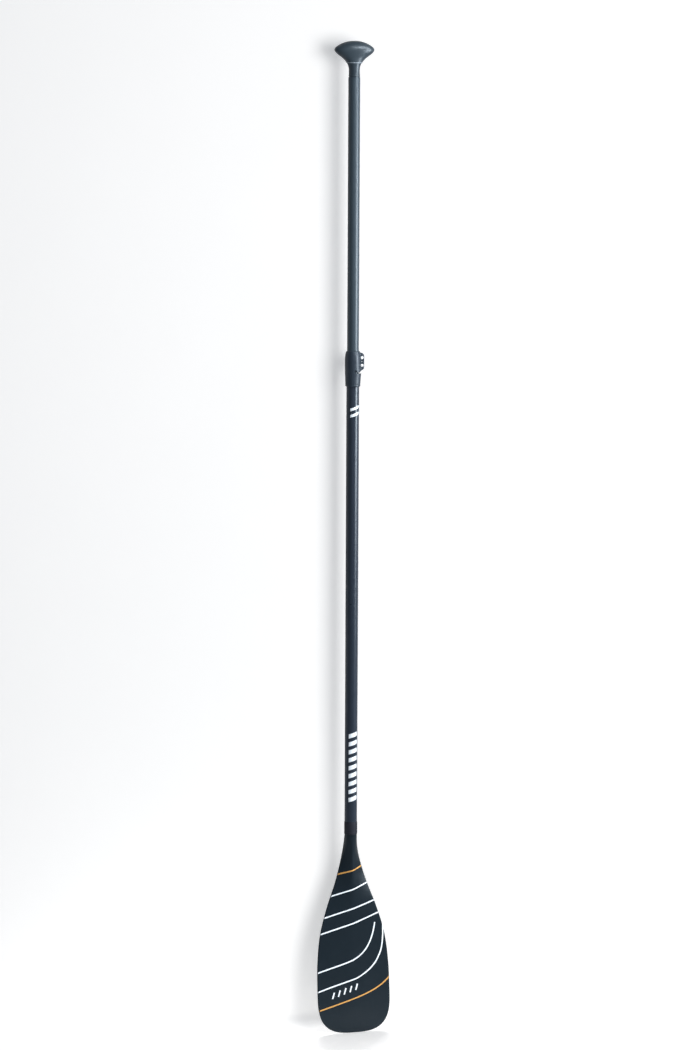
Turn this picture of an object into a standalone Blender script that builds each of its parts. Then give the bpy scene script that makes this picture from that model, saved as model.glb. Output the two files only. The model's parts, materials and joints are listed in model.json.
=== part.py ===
"""Adjustable single blade paddle: a palm grip on a telescopic shaft, a cam-lever clamp, and a canted blade.

Metres, +Z up the shaft, +X across the blade, -Y out of the blade's front. The origin is on the shaft's axis,
at the middle of the paddle's full length. The paddle is modelled at its full extension, with the clamp closed.
"""

import math

import bmesh
import bpy
from mathutils import Matrix, Vector

# ---- driving dimensions ----
TOP_Z = 1.100
TIP_Z = -1.100
GAP = 0.0003
SEGMENTS = 40
SMALL_SEGMENTS = 20
CUT_SEGMENTS = 24

# shafts
UPPER_R = 0.0129
UPPER_BORE_R = 0.0118
LOWER_R = 0.0140
LOWER_BORE_R = 0.0132
UPPER_TOP_Z = 1.0217
UPPER_END_Z = 0.1900

# clamp collar
COLLAR_BOTTOM_Z = 0.3481
COLLAR_HEIGHT = 0.0776
COLLAR_R = 0.0177
COLLAR_UPPER_BORE_R = UPPER_R + 0.0002
COLLAR_LOWER_BORE_R = LOWER_R + GAP
SHOULDER_Z = COLLAR_BOTTOM_Z + 0.0270
SLIT_Z = COLLAR_BOTTOM_Z + 0.0297
SLIT_HEIGHT = 0.0028
RELIEF_HOLE_R = 0.0015
RELIEF_HOLE_X = 0.0012
RELIEF_HOLE_Z = COLLAR_BOTTOM_Z + 0.0341
FLARE = 0.0012
FLARE_Z = COLLAR_BOTTOM_Z + 0.0290
FLARE_SPREAD = 0.0210
SPLIT_WIDTH = 0.0030
EAR_X = 0.0229
EAR_HALF_Y = 0.0080
EAR_LOW_Z = COLLAR_BOTTOM_Z + 0.0350
EAR_HIGH_Z = COLLAR_BOTTOM_Z + 0.0746
EAR_CORNER_R = 0.0080

# clamp fittings
BOLT_X = 0.0178
BOLT_Z = (COLLAR_BOTTOM_Z + 0.0636, COLLAR_BOTTOM_Z + 0.0466)
BOLT_R = 0.0020
BOLT_HOLE_R = 0.00235
BOLT_HEAD_R = 0.0035
BOLT_HEAD_HEIGHT = 0.0040
COUNTERBORE_R = 0.0039
COUNTERBORE_DEPTH = 0.0015
COUNTERBORE_REACH = 0.0070
PIVOT_Y = 0.0161
NUT_R = 0.0036
CAM_R = 0.0055
CAM_OFFSET = 0.0005
PLATE_THICKNESS = 0.0015

# clamp lever
LEVER_LOW_Z = COLLAR_BOTTOM_Z + 0.0390
LEVER_HIGH_Z = COLLAR_BOTTOM_Z + 0.0712
LEVER_INNER_R = COLLAR_R + 0.0007
LEVER_OUTER_R = LEVER_INNER_R + 0.0031
LEVER_END_ANGLE = math.radians(120)
BOLT_SLOT = 0.0048

# blade joint
FERRULE_TOP_Z = -0.6258
FERRULE_BOTTOM_Z = -0.6542
FERRULE_R = 0.0146
STUB_R = 0.0128
STUB_BORE_R = 0.0108
STUB_TOP_Z = FERRULE_TOP_Z + 0.1000
TENON_R = 0.0085
TENON_DEPTH = 0.0600
BUTTON_Z = FERRULE_TOP_Z + 0.0260
BUTTON_R = 0.0032
BUTTON_HOLE_R = 0.0036
BUTTON_FLANGE_R = 0.0042
BUTTON_FLANGE_Y = 0.0084
BUTTON_OUT_Y = 0.0162

# blade
BLADE_TOP_Z = FERRULE_BOTTOM_Z - GAP
BLADE_LENGTH = BLADE_TOP_Z - TIP_Z
NECK_R = 0.0137
BLADE_HALF_WIDTH = 0.0844
WIDEST_S = 0.3550
CORNER_POWER = 3.1
EDGE_HALF = 0.0019
EDGE_ROUND = 0.0020
CENTRE_HALF = 0.0040
NECK_FADE = 0.0950
SPINE_FADE = 0.1100
RIDGE_ROUND = 0.15
SHELL = 0.0012
SEAM_HALF = 0.00015

# (distance down the blade, half width) of its sides, from the neck to the widest place
SIDE_POINTS = (
    (0.000, NECK_R),
    (0.030, 0.0164),
    (0.065, 0.0238),
    (0.110, 0.0372),
    (0.165, 0.0580),
    (0.225, 0.0752),
    (0.290, 0.0829),
    (WIDEST_S, BLADE_HALF_WIDTH),
)
# (distance down the blade, Y of its edges): behind the axis at the neck, then canted towards the front
CANT_POINTS = (
    (0.000, 0.0000),
    (0.028, 0.0048),
    (0.060, 0.0040),
    (0.120, -0.0025),
    (BLADE_LENGTH, -0.0385),
)

# grip: (depth below the top, half width, half depth)
GRIP_SECTIONS = (
    (0.0000, 0.0100, 0.0060),
    (0.0012, 0.0172, 0.0098),
    (0.0032, 0.0244, 0.0130),
    (0.0062, 0.0318, 0.0158),
    (0.0100, 0.0382, 0.0179),
    (0.0140, 0.0428, 0.0191),
    (0.0180, 0.0447, 0.0195),
    (0.0215, 0.0443, 0.0192),
    (0.0250, 0.0420, 0.0185),
    (0.0290, 0.0378, 0.0174),
    (0.0330, 0.0322, 0.0163),
    (0.0370, 0.0266, 0.0153),
    (0.0420, 0.0212, 0.0145),
    (0.0468, 0.0172, 0.0139),
)
# grip neck: (depth below the top, half width, half depth)
NECK_SECTIONS = (
    (0.0473, 0.0168, 0.0138),
    (0.0515, 0.0143, 0.0130),
    (0.0560, 0.0128, 0.0124),
    (0.0610, 0.0121, 0.0120),
    (0.0670, 0.0119, 0.0119),
    (0.0730, 0.0122, 0.0122),
    (TOP_Z - UPPER_TOP_Z - GAP, 0.0128, 0.0128),
)
GRIP_TENON_R = 0.0080
GRIP_TENON_HEIGHT = 0.0200
PLUG_R = UPPER_BORE_R - GAP
NECK_PLUG_DEPTH = 0.0450

# guide at the hidden end of the upper shaft
END_PLUG_HEIGHT = 0.0250
STEM_R = 0.0060
STEM_LENGTH = 0.0140
BUSH_R = LOWER_BORE_R - 0.0003
BUSH_BORE_R = STEM_R + GAP
SCREW_R = 0.0020
WASHER_R = 0.0090


# ---- materials ----
def material(name, colour, roughness, metallic=0.0):
    found = bpy.data.materials.new(name)
    found.use_nodes = True
    shader = found.node_tree.nodes["Principled BSDF"]
    shader.inputs["Base Color"].default_value = (*colour, 1.0)
    shader.inputs["Roughness"].default_value = roughness
    shader.inputs["Metallic"].default_value = metallic
    return found


def make_materials():
    return {
        "shaft": material("satin_carbon", (0.026, 0.036, 0.045), 0.38),
        "grip": material("grip_plastic", (0.022, 0.030, 0.036), 0.48),
        "collar": material("collar_plastic", (0.020, 0.026, 0.034), 0.42),
        "lever": material("lever_plastic", (0.018, 0.022, 0.028), 0.36),
        "ferrule": material("ferrule_plastic", (0.027, 0.026, 0.036), 0.55),
        "stub": material("stub_plastic", (0.020, 0.020, 0.022), 0.50),
        "blade": material("blade_skin", (0.019, 0.024, 0.030), 0.42),
        "core": material("core_foam", (0.72, 0.66, 0.48), 0.90),
        "plug": material("float_foam", (0.50, 0.52, 0.54), 0.92),
        "bush": material("guide_nylon", (0.70, 0.70, 0.66), 0.50),
        "steel": material("stainless_steel", (0.62, 0.62, 0.62), 0.28, 1.0),
    }


# ---- mesh helpers ----
def add_object(name, bm, finish, smooth=True):
    bmesh.ops.recalc_face_normals(bm, faces=bm.faces)
    mesh = bpy.data.meshes.new(name)
    bm.to_mesh(mesh)
    bm.free()
    obj = bpy.data.objects.new(name, mesh)
    bpy.context.scene.collection.objects.link(obj)
    if finish is not None:
        mesh.materials.append(finish)
    if smooth:
        mesh.shade_smooth()
        mesh.set_sharp_from_angle(angle=math.radians(35))
    return obj


def join_rings(bm, rings, closed=True):
    """Quads between each ring of vertices and the next."""
    for first, second in zip(rings, rings[1:], strict=False):
        count = len(first)
        last = count if closed else count - 1
        for i in range(last):
            j = (i + 1) % count
            bm.faces.new((first[i], first[j], second[j], second[i]))


def circle(radius, height, segments=SEGMENTS):
    step = math.tau / segments
    return [(radius * math.cos(i * step), radius * math.sin(i * step), height) for i in range(segments)]


def turned(name, profile, finish, segments=SEGMENTS, ring=False):
    """A body turned about Z from (radius, height) points: a closed ring, or a solid with capped ends."""
    bm = bmesh.new()
    rings = [[bm.verts.new(p) for p in circle(r, z, segments)] for r, z in profile]
    if ring:
        join_rings(bm, [*rings, rings[0]])
    else:
        join_rings(bm, rings)
        bm.faces.new(rings[0])
        bm.faces.new(rings[-1])
    return add_object(name, bm, finish)


def tube(name, outer, inner, low, high, finish, segments=SEGMENTS, chamfer=0.0003):
    """A plain tube along Z with its outer edges broken."""
    profile = (
        (inner, high),
        (outer - chamfer, high),
        (outer, high - chamfer),
        (outer, low + chamfer),
        (outer - chamfer, low),
        (inner, low),
    )
    return turned(name, profile, finish, segments, ring=True)


def lofted(name, sections, finish, power=2.0, segments=SEGMENTS):
    """A capped body through superelliptic sections (height, half width, half depth)."""
    bm = bmesh.new()
    rings = []
    for height, half_x, half_y in sections:
        ring = []
        for i in range(segments):
            angle = math.tau * i / segments
            c = math.cos(angle)
            s = math.sin(angle)
            x = half_x * math.copysign(abs(c) ** (2 / power), c)
            y = half_y * math.copysign(abs(s) ** (2 / power), s)
            ring.append(bm.verts.new((x, y, height)))
        rings.append(ring)
    join_rings(bm, rings)
    bm.faces.new(rings[0])
    bm.faces.new(rings[-1])
    return add_object(name, bm, finish)


def extruded(name, outline, vector, finish, smooth=True):
    """A flat outline of 3-D points swept along a vector."""
    bm = bmesh.new()
    face = bm.faces.new([bm.verts.new(p) for p in outline])
    made = bmesh.ops.extrude_face_region(bm, geom=[face])
    moved = [item for item in made["geom"] if isinstance(item, bmesh.types.BMVert)]
    bmesh.ops.translate(bm, verts=moved, vec=vector)
    return add_object(name, bm, finish, smooth)


def arc(centre, radius, start, end, count):
    """Points on a circle in a plane, both ends included, with angles in radians."""
    step = (end - start) / (count - 1)
    return [
        (centre[0] + radius * math.cos(start + i * step), centre[1] + radius * math.sin(start + i * step))
        for i in range(count)
    ]


def cylinder(name, radius, length, centre, axis, segments=32):
    """A helper cylinder about any axis."""
    bm = bmesh.new()
    bmesh.ops.create_cone(
        bm, cap_ends=True, segments=segments, radius1=radius, radius2=radius, depth=length
    )
    turn = Vector((0, 0, 1)).rotation_difference(Vector(axis)).to_matrix().to_4x4()
    bmesh.ops.transform(bm, matrix=Matrix.Translation(centre) @ turn, verts=bm.verts)
    return add_object(name, bm, None)


def block(name, low, high):
    """A helper box from its lowest corner to its highest."""
    bm = bmesh.new()
    size = [b - a for a, b in zip(low, high, strict=True)]
    centre = [(a + b) / 2 for a, b in zip(low, high, strict=True)]
    bmesh.ops.create_cube(bm, size=1.0)
    bmesh.ops.transform(bm, matrix=Matrix.Translation(centre) @ Matrix.Diagonal((*size, 1.0)), verts=bm.verts)
    return add_object(name, bm, None, smooth=False)


def boolean(target, helper, operation):
    helper.hide_render = True
    helper.display_type = "WIRE"
    cut = target.modifiers.new(helper.name, "BOOLEAN")
    cut.operation = operation
    cut.solver = "EXACT"
    cut.object = helper


def bevelled(obj, width, segments=2, angle=40):
    bevel = obj.modifiers.new("edges", "BEVEL")
    bevel.width = width
    bevel.segments = segments
    bevel.limit_method = "ANGLE"
    bevel.angle_limit = math.radians(angle)


# ---- shafts and their plugs ----
def make_shafts(finishes):
    tube("upper_shaft", UPPER_R, UPPER_BORE_R, UPPER_END_Z, UPPER_TOP_Z, finishes["shaft"])
    lower = tube(
        "lower_shaft", LOWER_R, LOWER_BORE_R, FERRULE_TOP_Z + GAP, SHOULDER_Z - GAP, finishes["shaft"]
    )
    hole = cylinder("button_hole_shaft", BUTTON_HOLE_R, 0.010, (0, LOWER_R, BUTTON_Z), (0, 1, 0), CUT_SEGMENTS)
    boolean(lower, hole, "DIFFERENCE")


def foam_plug(name, radius, low, high, finish):
    end = radius - 0.0010
    profile = ((end, high), (radius, high - 0.0010), (radius, low + 0.0010), (end, low))
    turned(name, profile, finish, SMALL_SEGMENTS)


def make_plugs(finishes):
    foam = finishes["plug"]
    foam_plug("upper_float_plug", PLUG_R, UPPER_END_Z + 0.0300, UPPER_END_Z + 0.0800, foam)
    foam_plug("lower_float_plug", LOWER_BORE_R - GAP, STUB_TOP_Z + 0.0020, STUB_TOP_Z + 0.0320, foam)
    foam_plug("stub_plug", STUB_BORE_R - GAP, STUB_TOP_Z - 0.0200, STUB_TOP_Z - 0.0010, foam)


# ---- guide at the hidden end of the upper shaft ----
def make_guide(finishes):
    stem_end = UPPER_END_Z - STEM_LENGTH
    bore_top = stem_end + 0.0110
    bore_r = SCREW_R + GAP
    profile = (
        (PLUG_R, UPPER_END_Z + END_PLUG_HEIGHT),
        (PLUG_R, UPPER_END_Z - GAP),
        (UPPER_R - 0.0002, UPPER_END_Z - GAP),
        (UPPER_R - 0.0002, UPPER_END_Z - 0.0015),
        (STEM_R, UPPER_END_Z - 0.0015),
        (STEM_R, stem_end),
        (bore_r, stem_end),
        (bore_r, bore_top),
    )
    turned("shaft_end_plug", profile, finishes["stub"], 28)
    bush_low = stem_end + 0.0004
    bush_high = UPPER_END_Z - 0.0019
    tube("guide_bush", BUSH_R, BUSH_BORE_R, bush_low, bush_high, finishes["bush"], 32, 0.0008)
    washer_top = stem_end - GAP
    tube("bush_washer", WASHER_R, bore_r, washer_top - 0.0010, washer_top, finishes["steel"], 24, 0.0002)
    head_top = stem_end - 0.0016
    profile = (
        (SCREW_R, bore_top - 0.0010),
        (SCREW_R, head_top),
        (0.0036, head_top),
        (0.0036, head_top - 0.0016),
        (0.0024, head_top - 0.0024),
    )
    turned("bush_screw", profile, finishes["steel"], SMALL_SEGMENTS)


# ---- palm grip ----
def make_grip(finishes):
    sections = [(TOP_Z - depth, half_x, half_y) for depth, half_x, half_y in GRIP_SECTIONS]
    knob = lofted("grip_knob", sections, finishes["grip"], 2.15, 32)
    seam_z = sections[-1][0]
    socket_height = 2 * (GRIP_TENON_HEIGHT + GAP)
    socket = cylinder("knob_socket", GRIP_TENON_R + GAP, socket_height, (0, 0, seam_z), (0, 0, 1))
    boolean(knob, socket, "DIFFERENCE")

    sections = [(TOP_Z - depth, half_x, half_y) for depth, half_x, half_y in NECK_SECTIONS]
    neck = lofted("grip_neck", sections, finishes["grip"], 2.0, 32)
    high = sections[0][0] + GRIP_TENON_HEIGHT
    low = UPPER_TOP_Z - NECK_PLUG_DEPTH
    tenon_low = sections[-1][0] + 0.002
    middle = (high + tenon_low) / 2
    tenon = cylinder("neck_tenon", GRIP_TENON_R, high - tenon_low, (0, 0, middle), (0, 0, 1))
    plug_top = sections[-1][0] + 0.005
    plug = cylinder("neck_plug", PLUG_R, plug_top - low, (0, 0, (plug_top + low) / 2), (0, 0, 1), 32)
    boolean(neck, tenon, "UNION")
    boolean(neck, plug, "UNION")


# ---- clamp collar ----
def collar_profile():
    """(radius, height above the collar's bottom) down the outer side, top to bottom."""
    return (
        (COLLAR_R - 0.0040, 0.0776),
        (COLLAR_R - 0.0031, 0.0774),
        (COLLAR_R - 0.0023, 0.0764),
        (COLLAR_R - 0.0017, 0.0732),
        (COLLAR_R - 0.0008, 0.0690),
        (COLLAR_R - 0.0002, 0.0630),
        (COLLAR_R, 0.0550),
        (COLLAR_R - 0.0002, 0.0400),
        (COLLAR_R - 0.0004, 0.0300),
        (COLLAR_R - 0.0008, 0.0160),
        (COLLAR_R - 0.0011, 0.0056),
        (COLLAR_R - 0.0014, 0.0050),
        (COLLAR_R - 0.0014, 0.0042),
        (COLLAR_R - 0.0010, 0.0036),
        (COLLAR_R - 0.0011, 0.0010),
        (COLLAR_R - 0.0016, 0.0000),
    )


def flare(collar):
    """Swells the sleeve a little towards the ear's side at the height of the slit."""
    for vert in collar.data.vertices:
        x, y, z = vert.co
        radius = math.hypot(x, y)
        rise = 1 - min(abs(z - FLARE_Z) / FLARE_SPREAD, 1.0)
        swell = FLARE * max(x / radius, 0.0) * rise * rise * (3 - 2 * rise)
        vert.co.x += swell * x / radius
        vert.co.y += swell * y / radius


def slit_outline():
    """The slit seen from the front: it starts at the relief hole, drops, and runs level to the ear's side."""
    half = SLIT_HEIGHT / 2
    bend_x = 0.0062
    end_x = 0.0300
    upper = [(RELIEF_HOLE_X, RELIEF_HOLE_Z + 0.0008), (bend_x + 0.0008, SLIT_Z + half), (end_x, SLIT_Z + half)]
    lower = [(end_x, SLIT_Z - half), (bend_x - 0.0008, SLIT_Z - half), (RELIEF_HOLE_X, RELIEF_HOLE_Z - 0.0008)]
    return upper + lower


def ear_outline():
    """The ear seen from the front: square at the collar, two round corners on its free side."""
    inner = 0.0100
    r = EAR_CORNER_R
    right = EAR_X - r
    corner = arc((right, EAR_HIGH_Z - r), r, math.radians(90), 0, 8)
    corner += arc((right, EAR_LOW_Z + r), r, 0, math.radians(-90), 8)
    return [(inner, EAR_HIGH_Z), *corner, (inner, EAR_LOW_Z)]


def make_collar(finishes):
    profile = [(r, COLLAR_BOTTOM_Z + z) for r, z in collar_profile()]
    collar = turned("clamp_collar", profile, finishes["collar"], 48)
    flare(collar)
    outline = [(x, -EAR_HALF_Y, z) for x, z in ear_outline()]
    ear = extruded("ear_block", outline, (0, 2 * EAR_HALF_Y, 0), None)
    bevelled(ear, 0.0008, 2)
    boolean(collar, ear, "UNION")

    top = COLLAR_BOTTOM_Z + COLLAR_HEIGHT
    bore_profile = (
        (COLLAR_UPPER_BORE_R, top + 0.002),
        (COLLAR_UPPER_BORE_R, SHOULDER_Z),
        (COLLAR_LOWER_BORE_R, SHOULDER_Z),
        (COLLAR_LOWER_BORE_R, COLLAR_BOTTOM_Z - 0.002),
    )
    boolean(collar, turned("collar_bore", bore_profile, None, 48), "DIFFERENCE")
    half = SPLIT_WIDTH / 2
    split = block("collar_split", (0.010, -half, SLIT_Z), (0.030, half, top + 0.002))
    boolean(collar, split, "DIFFERENCE")
    outline = [(x, -0.030, z) for x, z in slit_outline()]
    boolean(collar, extruded("collar_slit", outline, (0, 0.060, 0), None), "DIFFERENCE")
    centre = (RELIEF_HOLE_X, 0, RELIEF_HOLE_Z)
    holes = cylinder("relief_holes", RELIEF_HOLE_R, 0.060, centre, (0, 1, 0), CUT_SEGMENTS)
    boolean(collar, holes, "DIFFERENCE")
    for i, z in enumerate(BOLT_Z):
        hole = cylinder(f"bolt_hole_{i}", BOLT_HOLE_R, 0.040, (BOLT_X, 0, z), (0, 1, 0), CUT_SEGMENTS)
        boolean(collar, hole, "DIFFERENCE")
        seat_y = -EAR_HALF_Y + COUNTERBORE_DEPTH
        centre = (BOLT_X, seat_y - COUNTERBORE_REACH / 2, z)
        seat = cylinder(f"counterbore_{i}", COUNTERBORE_R, COUNTERBORE_REACH, centre, (0, 1, 0), CUT_SEGMENTS)
        boolean(collar, seat, "DIFFERENCE")


# ---- clamp fittings ----
def make_bolt(name, height, finish):
    """A socket-head bolt from the front ear's counterbore into the barrel nut."""
    seat_y = -EAR_HALF_Y + COUNTERBORE_DEPTH - GAP
    head_y = seat_y - BOLT_HEAD_HEIGHT
    profile = (
        (0.0016, head_y + 0.0022),
        (0.0016, head_y),
        (BOLT_HEAD_R - 0.0004, head_y),
        (BOLT_HEAD_R, head_y + 0.0004),
        (BOLT_HEAD_R, seat_y),
        (BOLT_R, seat_y),
        (BOLT_R, PIVOT_Y + 0.0022),
        (BOLT_R - 0.0004, PIVOT_Y + 0.0026),
    )
    bolt = turned(name, [(r, -y) for r, y in profile], finish, SMALL_SEGMENTS)
    bolt.rotation_euler = (math.radians(90), 0, 0)
    bolt.location = (BOLT_X, 0, height)


def make_barrel_nut(finish):
    nut = cylinder(
        "barrel_nut",
        NUT_R,
        LEVER_HIGH_Z - LEVER_LOW_Z,
        (BOLT_X, PIVOT_Y, (LEVER_HIGH_Z + LEVER_LOW_Z) / 2),
        (0, 0, 1),
    )
    nut.data.materials.append(finish)
    for i, z in enumerate(BOLT_Z):
        hole = cylinder(f"nut_hole_{i}", BOLT_R + GAP, 0.020, (BOLT_X, PIVOT_Y, z), (0, 1, 0), CUT_SEGMENTS)
        boolean(nut, hole, "DIFFERENCE")


def make_thrust_plate(finish):
    """The hard pad between the back ear and the cams."""
    low = EAR_HALF_Y + GAP
    left = 0.0160
    right = EAR_X - 0.0012
    bottom = LEVER_LOW_Z
    top = LEVER_HIGH_Z
    outline = [(left, low, bottom), (right, low, bottom), (right, low, top), (left, low, top)]
    plate = extruded("thrust_plate", outline, (0, PLATE_THICKNESS, 0), finish, smooth=False)
    bevelled(plate, 0.0002, 1)
    for i, z in enumerate(BOLT_Z):
        hole = cylinder(f"plate_hole_{i}", BOLT_HOLE_R, 0.010, (BOLT_X, low, z), (0, 1, 0), CUT_SEGMENTS)
        boolean(plate, hole, "DIFFERENCE")


def lever_outline():
    """The lever's arm seen from above: an inner arc round the collar, a thumb tab, and a fuller outer curve."""
    inner = arc((0, 0), LEVER_INNER_R, math.radians(50), LEVER_END_ANGLE, 12)
    end = arc((0, 0), LEVER_OUTER_R + 0.0006, LEVER_END_ANGLE + math.radians(1), math.radians(114), 3)
    outer = arc((0, 0), LEVER_OUTER_R, math.radians(108), math.radians(78), 6)
    shoulder = [(0.0085, 0.0212), (0.0130, 0.0217), (BOLT_X, PIVOT_Y + CAM_R)]
    root = [(BOLT_X, PIVOT_Y), (BOLT_X - 0.0036, PIVOT_Y - 0.0034)]
    return [*inner, *end, *outer, *shoulder, *root]


def make_lever(finish):
    pivot = Vector((BOLT_X, PIVOT_Y, 0))
    outline = [(x - pivot.x, y - pivot.y, LEVER_LOW_Z) for x, y in lever_outline()]
    lever = extruded("clamp_lever", outline, (0, 0, LEVER_HIGH_Z - LEVER_LOW_Z), finish)
    lever.location = pivot
    bevelled(lever, 0.0006, 2, 50)
    levels = [LEVER_LOW_Z]
    for z in sorted(BOLT_Z):
        levels += [z - BOLT_SLOT / 2, z + BOLT_SLOT / 2]
    levels.append(LEVER_HIGH_Z)
    for i in range(0, len(levels), 2):
        low = levels[i]
        high = levels[i + 1]
        centre = (0, -CAM_OFFSET, (low + high) / 2)
        cam = cylinder(f"cam_{i // 2}", CAM_R, high - low, centre, (0, 0, 1), 36)
        cam.parent = lever
        boolean(lever, cam, "UNION")
    bore = cylinder("lever_bore", NUT_R + GAP, 0.060, (0, 0, (LEVER_LOW_Z + LEVER_HIGH_Z) / 2), (0, 0, 1), 36)
    bore.parent = lever
    boolean(lever, bore, "DIFFERENCE")


# ---- ferrule, stub and snap button ----
def make_blade_joint(finishes):
    bore_r = STUB_R + GAP
    tube("ferrule", FERRULE_R, bore_r, FERRULE_BOTTOM_Z, FERRULE_TOP_Z, finishes["ferrule"], chamfer=0.0006)
    tenon_end = FERRULE_BOTTOM_Z - TENON_DEPTH
    shelf_z = FERRULE_BOTTOM_Z + 0.0050
    profile = (
        (STUB_BORE_R, STUB_TOP_Z),
        (STUB_R - 0.0004, STUB_TOP_Z),
        (STUB_R, STUB_TOP_Z - 0.0004),
        (STUB_R, FERRULE_BOTTOM_Z),
        (TENON_R, FERRULE_BOTTOM_Z),
        (TENON_R, tenon_end + 0.0010),
        (TENON_R - 0.0010, tenon_end),
        (TENON_R - 0.0024, tenon_end),
        (TENON_R - 0.0024, shelf_z),
        (STUB_BORE_R, shelf_z + 0.0010),
    )
    stub = turned("blade_stub", profile, finishes["stub"], 32, ring=True)
    hole = cylinder("button_hole_stub", BUTTON_HOLE_R, 0.010, (0, STUB_R, BUTTON_Z), (0, 1, 0), CUT_SEGMENTS)
    boolean(stub, hole, "DIFFERENCE")

    flange_top = BUTTON_FLANGE_Y + 0.0011
    profile = (
        (BUTTON_FLANGE_R, BUTTON_FLANGE_Y),
        (BUTTON_FLANGE_R, flange_top),
        (BUTTON_R, flange_top),
        (BUTTON_R, BUTTON_OUT_Y - 0.0012),
        (BUTTON_R * 0.88, BUTTON_OUT_Y - 0.0005),
        (BUTTON_R * 0.60, BUTTON_OUT_Y - 0.0001),
        (BUTTON_R * 0.25, BUTTON_OUT_Y),
    )
    button = turned("snap_button", profile, finishes["steel"], SMALL_SEGMENTS)
    button.rotation_euler = (math.radians(-90), 0, 0)
    button.location = (0, 0, BUTTON_Z)
    make_button_spring(finishes["steel"])


def make_button_spring(finish):
    """A bent strip: one leg under the button, a round bend below, the other leg on the stub's front wall."""
    thickness = 0.0006
    half_width = 0.0025
    back_y = BUTTON_FLANGE_Y - GAP
    front_y = -0.0098
    bend_z = BUTTON_Z - 0.0280
    bend_r = 0.0030
    bend_y = (back_y + front_y) / 2
    top_z = BUTTON_Z + 0.0050
    outer = [(back_y, top_z)]
    outer += [(back_y, BUTTON_Z - 0.0045)]
    outer += arc((bend_y, bend_z), bend_r, 0, -math.pi, 9)
    outer += [(front_y, BUTTON_Z - 0.0045), (front_y, top_z)]
    inner_r = bend_r - thickness
    inner = [(front_y + thickness, top_z), (front_y + thickness, BUTTON_Z - 0.0045)]
    inner += arc((bend_y, bend_z), inner_r, -math.pi, 0, 9)
    inner += [(back_y - thickness, BUTTON_Z - 0.0045), (back_y - thickness, top_z)]
    outline = [(-half_width, y, z) for y, z in outer + inner]
    extruded("button_spring", outline, (2 * half_width, 0, 0), finish)


# ---- blade ----
def smooth_through(points, at):
    """A cubic through hand-set points, with slopes from each point's neighbours."""
    count = len(points)
    slopes = []
    for i in range(count):
        before = points[max(i - 1, 0)]
        after = points[min(i + 1, count - 1)]
        slopes.append((after[1] - before[1]) / (after[0] - before[0]))
    for i in range(count - 1):
        low, high = points[i], points[i + 1]
        if at <= high[0] or i == count - 2:
            span = high[0] - low[0]
            t = (at - low[0]) / span
            a = (1 + 2 * t) * (1 - t) ** 2 * low[1] + t * (1 - t) ** 2 * span * slopes[i]
            b = t * t * (3 - 2 * t) * high[1] + t * t * (t - 1) * span * slopes[i + 1]
            return a + b
    return points[-1][1]


def fade(at, length):
    """1 at the neck, easing to 0 at the given distance down the blade."""
    t = min(max(at / length, 0.0), 1.0)
    return 1 - t * t * (3 - 2 * t)


def smooth_max(a, b, radius):
    return (a + b + math.sqrt((a - b) ** 2 + radius**2)) / 2


def edge_y(at):
    return smooth_through(CANT_POINTS, at)


def blade_ribs():
    """(edge x, edge distance, spine distance) of each rib of one half, from the neck to the tip."""
    ribs = []
    side_steps = 15
    for i in range(side_steps):
        at = WIDEST_S * (i / side_steps) ** 1.15
        ribs.append((smooth_through(SIDE_POINTS, at), at, at))
    corner_steps = 9
    cap = BLADE_LENGTH - WIDEST_S
    for i in range(corner_steps + 1):
        angle = math.radians(90) * i / corner_steps
        x = BLADE_HALF_WIDTH * math.cos(angle) ** (2 / CORNER_POWER) if i < corner_steps else 0.0
        down = cap * math.sin(angle) ** (2 / CORNER_POWER)
        ribs.append((x, WIDEST_S + down, WIDEST_S + 0.35 * cap * math.sin(angle)))
    return ribs


def half_thickness(q, reach, at, front):
    """Height of one face above the edges' surface at q, from 0 on the spine to 1 at the edge."""
    round_part = fade(at, NECK_FADE)
    if front:
        centre = smooth_max(edge_y(at) + NECK_R, CENTRE_HALF, 0.0030)
        if at < 0.01:
            centre = NECK_R + edge_y(at)
    else:
        centre = CENTRE_HALF + (NECK_R - CENTRE_HALF) * fade(at, SPINE_FADE) - edge_y(at) * fade(at, 0.060)
    side = EDGE_HALF * (1 - round_part)
    inward = min((1 - q) * reach / EDGE_ROUND, 1.0)
    side *= math.sqrt(max(1 - (1 - inward) ** 2, 0.0))
    tent = 1 - (math.sqrt(q * q + RIDGE_ROUND**2) - RIDGE_ROUND) / (math.sqrt(1 + RIDGE_ROUND**2) - RIDGE_ROUND)
    shape = round_part * math.sqrt(max(1 - q * q, 0.0)) + (1 - round_part) * tent
    return side + (centre - EDGE_HALF * (1 - round_part)) * shape


def rib_stations(reach, at, steps):
    """Places along a rib, closer together at the edge."""
    round_part = fade(at, NECK_FADE)
    near_edge = [1 - EDGE_ROUND * share / reach for share in (1.0, 0.35, 0.0)]
    inside = steps - len(near_edge)
    stations = []
    for k in range(steps):
        bent = math.sin(math.radians(90) * k / (steps - 1))
        flat = near_edge[0] * k / inside if k < inside else near_edge[k - inside]
        stations.append(round_part * bent + (1 - round_part) * flat)
    return stations


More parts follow.
